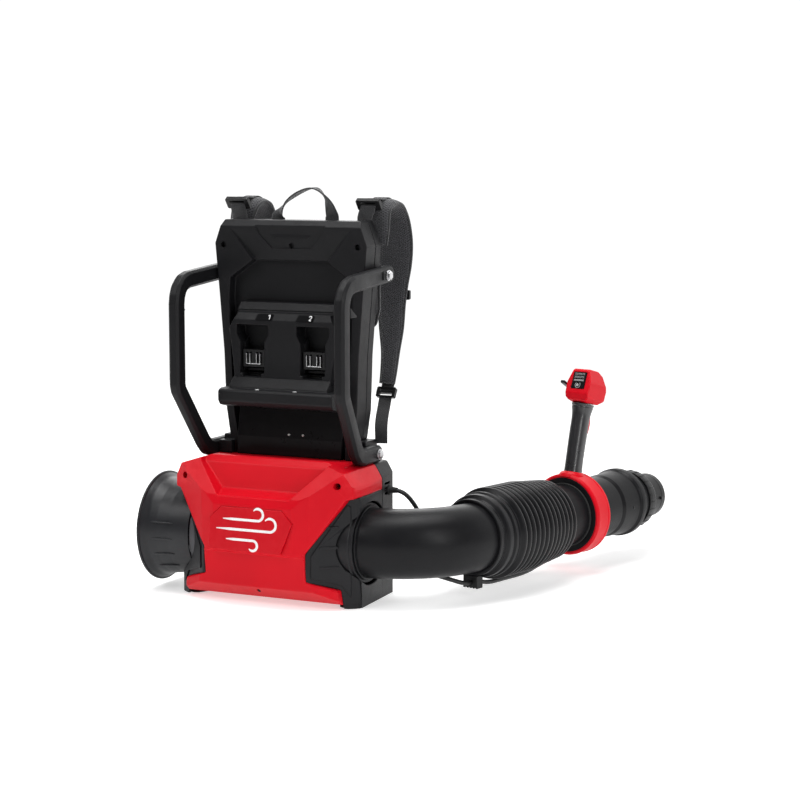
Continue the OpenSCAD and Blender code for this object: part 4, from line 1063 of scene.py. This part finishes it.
def make_grip():
    """Handle shaft with a soft oval section that flares towards the head."""
    rows = [(57, 1.06, 1.05), (60, 1.05, 1.04), (66, 1.0, 1.0), (80, 0.98, 0.98),
        (100, 0.98, 0.98), (120, 0.99, 0.99), (140, 1.0, 1.0), (156, 1.0, 1.0), (166, 1.02, 1.03),
        (172, 1.06, 1.08), (177, 1.12, 1.14), (181, 1.17, 1.19), (181.8, 1.15, 1.17),
        (183, 1.16, 1.18), (183.8, 1.2, 1.22), (187, 1.24, 1.26)]
    rows, segs, verts = spline(rows, 4), 72, []
    for h, kx, ky in rows:
        lean = 1.2 * math.sin(math.pi * (h - 57) / 130)
        for i in range(segs):
            a = 2 * math.pi * i / segs
            c, s = math.cos(a), math.sin(a)
            bulge = 1 + 0.02 * math.cos(2 * a)
            verts.append((16.3 * kx * math.copysign(abs(c) ** 0.86, c) * bulge - lean,
                14.4 * ky * math.copysign(abs(s) ** 0.9, s), h))
    ob = build("grip_skin", verts, rings_to_faces(len(rows), segs), GRIP, "handle", HANDLE, 42)
    boolean(ob, prism("slot", [(3.6, 130), (22, 130), (22, 190), (3.6, 190)], -6.1, 6.1, None,
        "handle", place=HANDLE, r=2))
    finish(clean(ob), GRIP, 42)
    soften(ob, 0.7, 2, 50)
    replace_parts(ob, "handle_grip")


def make_head():
    cad("handle_head", RED_HANDLE, edge=1.9, segs=4, angle=12)
    cad("control_panel", GLOSS, edge=0.5)
    # Rows of plain marks, the white field and the generic power sign
    parts = []
    for z, h in ((12.2, 0.75), (10.1, 0.45), (6.6, 0.75), (4.6, 0.45)):
        for x in (2.9 * k for k in range(-3, 4)):
            parts.append(prism("cell", [(x - 1.05, z - h), (x + 1.05, z - h), (x + 1.05, z + h),
                (x - 1.05, z + h)], -0.85, -0.5, GREY, "handle", place=PANEL, r=0.15))
    parts.append(prism("field", [(-9.6, -1.2), (10.2, -1.2), (10.2, 1.7), (-9.6, 1.7)], -0.85,
        -0.5, WHITE, "handle", place=PANEL, r=0.4))
    parts.append(sweep("ring", arc(4.9, -0.72, BUTTON_Z, 38, 323, 6), circle(0.75, 8), WHITE,
        "handle", across=(0, 1, 0), place=PANEL))
    joined("panel_marks", parts, 34)
    button = lathe("power_button_skin", [(0, -1.4), (2.9, -1.4, 0.6), (3.35, -0.8, 0.4),
        (3.35, 3.4), (0, 3.4)], PANEL @ T(0, 0, BUTTON_Z) @ R(-90, "X"), CLIP, "button", 64, r=0.3)
    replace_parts(clean(button), "power_button")
    mark = sweep("power_sign", [Vector((0, -1.62, BUTTON_Z + z)) for z in (0.2, 1, 1.8, 2.3)],
        tape(0.8, 0.5, 0.2), WHITE, "button", across=(1, 0, 0), place=PANEL)
    bow = sweep("power_bow", arc(1.9, -1.62, BUTTON_Z, 40, 321, 10), circle(0.32, 8), WHITE,
        "button", across=(0, 1, 0), place=PANEL)
    joined("power_sign_marks", [mark, bow], 34)


def make_trigger():
    cad("trigger", RED_HANDLE, edge=1.3, angle=14)
    cad("cruise_lever", CLIP, edge=1.1, angle=14)


make_ring()
make_grip()
make_head()
make_trigger()

# ---------- harness ----------

# Frames that the cloth simulation of a pad runs for
PUFF_FRAMES = 20


def plump(name, outline, y0, y1, mat, rise):
    """Pad blown up by a cloth simulation from a slightly smaller slab, flat where it rests."""
    ob = prism(name, [tuple(p) for p in rounded(outline, 16, 5)], y0 + 0.6, y1 - rise, mat, "base")
    remesh = ob.modifiers.new("voxels", "REMESH")
    remesh.mode, remesh.voxel_size = "VOXEL", 0.0052
    settle(ob)
    start = [v.co.copy() for v in ob.data.vertices]
    held = [v.index for v in ob.data.vertices if v.co.y < (y0 + 2.6) * 0.001]
    ob.vertex_groups.new(name="held").add(held, 1.0, "REPLACE")
    cloth = ob.modifiers.new("cloth", "CLOTH")
    s = cloth.settings
    s.quality, s.mass, s.tension_stiffness, s.bending_stiffness = 5, 0.3, 14, 1.2
    s.use_pressure, s.uniform_pressure_force = True, 4
    s.vertex_group_mass = "held"
    s.effector_weights.gravity = 0
    cloth.point_cache.frame_start, cloth.point_cache.frame_end = 1, PUFF_FRAMES
    for f in range(1, PUFF_FRAMES + 1):
        SCENE.frame_set(f)
    settle(ob)
    SCENE.frame_set(1)
    cap = rise * 0.00098
    for v, p in zip(ob.data.vertices, start):
        move = v.co - p
        if move.length > cap:
            move *= cap / move.length
        v.co = p + move
        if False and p.y > (y0 + 3) * 0.001:
            v.co.y += cap * 0.7
        v.co.y = max(v.co.y, (y0 + 0.3) * 0.001)
    subdivide(ob)
    return ob


def quilt(ob, above, width, distances):
    """Stitched channels pressed into the pad's outer side, and the fabric laid out flat."""
    for v in ob.data.vertices:
        for d in distances(v.co):
            if v.co.y > above:
                v.co.y -= 0.006 * math.exp(-(d / width) ** 2)
    layer = ob.data.attributes.get("along") or ob.data.attributes.new("along", "FLOAT_VECTOR",
        "POINT")
    layer.data.foreach_set("vector", [c for v in ob.data.vertices for c in (v.co.x, v.co.z, 0.0)])
    finish(ob, PAD, 180)


def piping(name, outline, y, r):
    line = [Vector((p[0], y, p[1])) for p in rounded(outline, r, 8)]
    sweep(name, line, circle(2.3, 12), BINDING, "base", across=(0, 1, 0), closed=True)


def stitches(path):
    """Row of short thread bars that lie on a line."""
    verts, faces = [], []
    pts = [Vector(p[:3]) for p in path]
    total = sum((b - a).length for a, b in zip(pts, pts[1:]))

    def at(d):
        for a, b in zip(pts, pts[1:]):
            part = (b - a).length
            if d <= part:
                return a + (b - a) * (d / part)
            d -= part
        return pts[-1]

    length, gap, ring = 3.2, 1.7, circle(0.42, 6)
    d = gap
    while d + length < total:
        p, q = at(d), at(d + length)
        t = (q - p).normalized()
        a = t.cross(Vector((0.3, 0.2, 0.93))).normalized()
        b = t.cross(a)
        faces += [tuple(len(verts) + v for v in face) for face in rings_to_faces(4, len(ring))]
        for f, w in ((0, 0.35), (0.18, 1), (0.82, 1), (1, 0.35)):
            c = p.lerp(q, f)
            verts += [c + a * x * w + b * y * w for x, y in ring]
        d += length + gap
    return build("row", verts, faces, STITCH, "base", None, 50)


def make_back_pads():
    for side, label in ((1, "right"), (-1, "left")):
        outline = [(9, 334), (81, 334), (92, 355), (95, 421), (123, 439), (129, 464), (129, 533),
            (119, 548), (97, 552), (89, 586), (9, 586)]
        ob = plump("back_pad_" + label, [(x * side, z) for x, z in outline][::side], 40.2, 60, PAD,
            7)
        if side > 0:
            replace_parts(ob, "back_pad")
        quilt(ob, 0.046, 0.0042, lambda p: [abs(p.z - (z + 8 * math.cos(p.x * 20)) * 0.001)
            for z in (420, 505)])
        piping("back_pad_piping_" + label, [(x * side, z) for x,
            z in ((7.2, 332.4), (82, 332.4), (93.8, 354.4), (96.8, 420), (124.8, 438),
            (130.8, 463), (130.8, 534), (120, 549.8), (98.4, 553.6), (90.4, 587.8), (7.2, 587.8))],
            47.2, 12)
    ob = plump("lumbar_pad_skin", [(-92, 100), (92, 100), (111, 121), (111, 204), (92, 220),
        (-92, 220)], 46.2, 72, PAD, 8)
    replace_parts(ob, "lumbar_pad")
    quilt(ob, 0.056, 0.004, lambda p: [abs(p.x - x * 0.001) for x in (-36, 36)])
    piping("lumbar_pad_piping", [(-93, 98.6), (93, 98.6), (112.6, 120.6), (112.6, 204.6),
        (93, 221.6), (-93, 221.6), (-112.6, 204.6), (-112.6, 120.6)], 56, 14)


# Middle line of the right shoulder pad and its width: X, Y, Z, width
STRAP_LINE = [(124, 50.8, 566, 36), (124, 51, 590, 42), (123, 53, 608, 45), (121, 59, 624, 49),
    (120, 76, 633, 54), (120, 96, 629, 57), (121, 111, 613, 58), (122, 120, 591, 59),
    (122, 126, 565, 59), (120, 129, 535, 57), (116, 129.5, 500, 52), (115, 128, 465, 46),
    (117, 123, 425, 40), (119, 115, 388, 30), (120, 106, 356, 26), (120, 99.6, 336, 24)]
STRAP_T = 15


def make_straps():
    line = spline(STRAP_LINE, 7)
    n, cols = len(line), 22
    path = [Vector(p[:3]) for p in line]
    verts, along, rows, run = [], [], [], 0.0
    for i, p in enumerate(path):
        t = direction(path, i)
        a = Vector((1, 0.12, 0))
        a = (a - t * a.dot(t)).normalized()
        b = t.cross(a)
        if i:
            run += (path[i] - path[i - 1]).length
        half = line[i][3] / 2
        end = min(1.0, (i + 0.6) / 5, (n - i - 0.4) / 5)
        thick = STRAP_T / 2 * (0.35 + 0.65 * math.sqrt(max(0.0, end)))
        puff = 1 + 0.05 * math.sin(run / 17.0) + 0.03 * noise.noise(Vector((run * 0.05, 0.3, 0.1)))
        for side in (1, -1):
            for j in range(cols) if side > 0 else range(1, cols - 1):
                u = (1 - 2 * j / (cols - 1)) * side
                crown = max(0.0, 1 - abs(u) ** 3.2) ** 0.55
                seam = math.exp(-((abs(u) - 0.78) / 0.05) ** 2) * 0.22
                z = side * thick * (0.16 + 0.84 * crown * (1 - seam)) * min(puff, 1.0)
                if abs(u) > 0.995:
                    z = 0
                verts.append(p + a * half * u + b * z)
                along.append((half * u * 0.001 + 0.0005 * side, run * 0.001))
        rows.append((p, a, b, half, thick))
    faces = rings_to_faces(n, len(verts) // n)
    ob = build("shoulder_strap_right_skin", verts, faces, PAD, "base", None, 180, along)
    subdivide(ob)
    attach(ob, "base")
    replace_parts(ob, "shoulder_strap_right")
    other = mirrored(ob, "shoulder_strap_left_skin")
    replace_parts(other, "shoulder_strap_left")
    # Binding folded over both edges, with its stitches
    hem = rounded([(2.6, 0), (1.4, 2.3), (-3.4, 2.7), (-3.4, -2.7), (1.4, -2.3)], 1.1, 3)
    tapes = [sweep("binding", [p + a * s * (half - 0.6) for p, a, b, half, thick in rows], hem,
        BINDING, "base", across=[tuple(r[1] * s) for r in rows], sharp=60) for s in (1, -1)]
    mirrored(joined("strap_binding_right", tapes), "strap_binding_left")
    sewn = [stitches([p + a * s * (half - 3.0) + b * face * 3.1 for p, a, b, half,
        thick in rows[2:-2]]) for s in (1, -1) for face in (1, -1)]
    mirrored(joined("strap_stitches_right", sewn), "strap_stitches_left")
    # Webbing that runs down the outside of the pad
    outer = [p - b * (thick + 0.9) for p, a, b, half, thick in rows]
    first = next(i for i in range(n) if path[i].y > 70)
    strip = [(120, 31, 636.6), (120, 38, 639.4), (120, 50, 640.6), *outer[first:n - 1],
        (120.6, 101, 331), (121, 97.4, 325.6), (121, 95.6, 322)]
    ways = [(1, 0, 0)] * 3 + [tuple(row[1]) for row in rows[first:n - 1]] + [(1, 0, 0)] * 3
    web = sweep("strap_webbing_right", strip, tape(22, 1.9, 0.8), WEB, "base", across=ways,
        sharp=60)
    mirrored(web, "strap_webbing_left")


def flat_band(name, points, w, t, across, per=6):
    line = spline([tuple(p) + tuple(a) for p, a in zip(points, across)], per)
    return sweep(name, [q[:3] for q in line], tape(w, t, t * 0.42), WEB, "base",
        across=[q[3:] for q in line], sharp=60)


def make_webbing():
    p = [(114, 29, 606.4), (114, 29, 610), (115.5, 29.2, 616), (117.6, 29.6, 621), (119, 30, 625),
        (119.6, 31, 631)]
    top = flat_band("top_webbing_right", p, 26, 2.3, [(1, 0, 0)] * len(p))
    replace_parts(top, "top_webbing")
    mirrored(top, "top_webbing_left")
    p = [(121, 92, 317), (121.4, 88.6, 310), (123, 80, 298), (126, 68, 286), (130, 56, 273),
        (133, 49.6, 260), (134, 47.8, 244)]
    low = flat_band("lower_webbing_right", p, 22, 2.3,
        [(1, 0.15 - 0.15 * i / 6, 0) for i in range(7)])
    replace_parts(low, "lower_webbing")
    mirrored(low, "lower_webbing_left")
    p = [(-42, 28, 604), (-42, 28, 611), (-38, 28, 619), (-27, 28, 634), (-9, 28.5, 647),
        (12, 29, 656), (27, 29, 656), (41, 28.5, 645), (50, 28, 630), (55, 28, 616), (56, 28, 611),
        (56, 28, 604)]
    ways = [(1, 0, 0), (1, 0, 0), (0.7, -0.6, 0), (0.3, -0.9, 0), (0, -1, 0), (0, -1, 0),
        (0.1, -1, 0), (0.5, -0.85, 0), (0.85, -0.5, 0), (1, -0.2, 0), (1, 0, 0), (1, 0, 0)]
    grab = flat_band("grab_handle_skin", p, 24, 2.2, ways, per=9)
    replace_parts(grab, "grab_handle")


def slide(name, node, w, h, t, place, slots):
    """Moulded slides on both sides: a rounded frame with slots for webbing."""
    plate = prism(name + "_right", block(w / 2, -h / 2, h / 2), -t / 2, t / 2, CLIP, "base",
        place=place, r=2.6)
    for z, width, height in slots:
        boolean(plate, prism("hole", block(width / 2, z, z + height), -t, t, None, "base",
            place=place, r=0.9))
    finish(clean(plate), CLIP, 34)
    soften(plate, 1.2)
    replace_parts(plate, node)
    mirrored(plate, name + "_left")


def make_clips():
    slide("ladder_lock", "ladder_locks", 42, 20, 7, T(120, 33, 632) @ R(38, "X"),
        [(-6.5, 27.2, 4), (2.5, 27.2, 4)])
    slide("lower_buckle", "lower_buckles", 34, 18, 7, T(121, 95, 321.6) @ R(-30, "X"),
        [(-6, 24, 4), (2, 24, 4)])
    slide("chest_clip", "chest_clips", 32, 16, 6.4, T(126, 141.6, 480) @ R(6.8, "Z"), [(-3, 20, 6)])


make_back_pads()
make_straps()
make_webbing()
make_clips()

# ---------- inner parts, which keep their CAD shapes ----------

for node, mat in (("fan_duct", MOTOR), ("motor_pod", MOTOR), ("motor_stator", COPPER),
        ("motor_bearings", STEEL), ("motor_shaft", STEEL), ("motor_rotor", DARK_STEEL),
        ("control_board", BOARD), ("switch_block", MOTOR), ("trigger_spring", STEEL)):
    ob = frame["nodes"][node]
    ob.data.materials.clear()
    ob.data.materials.append(mat)
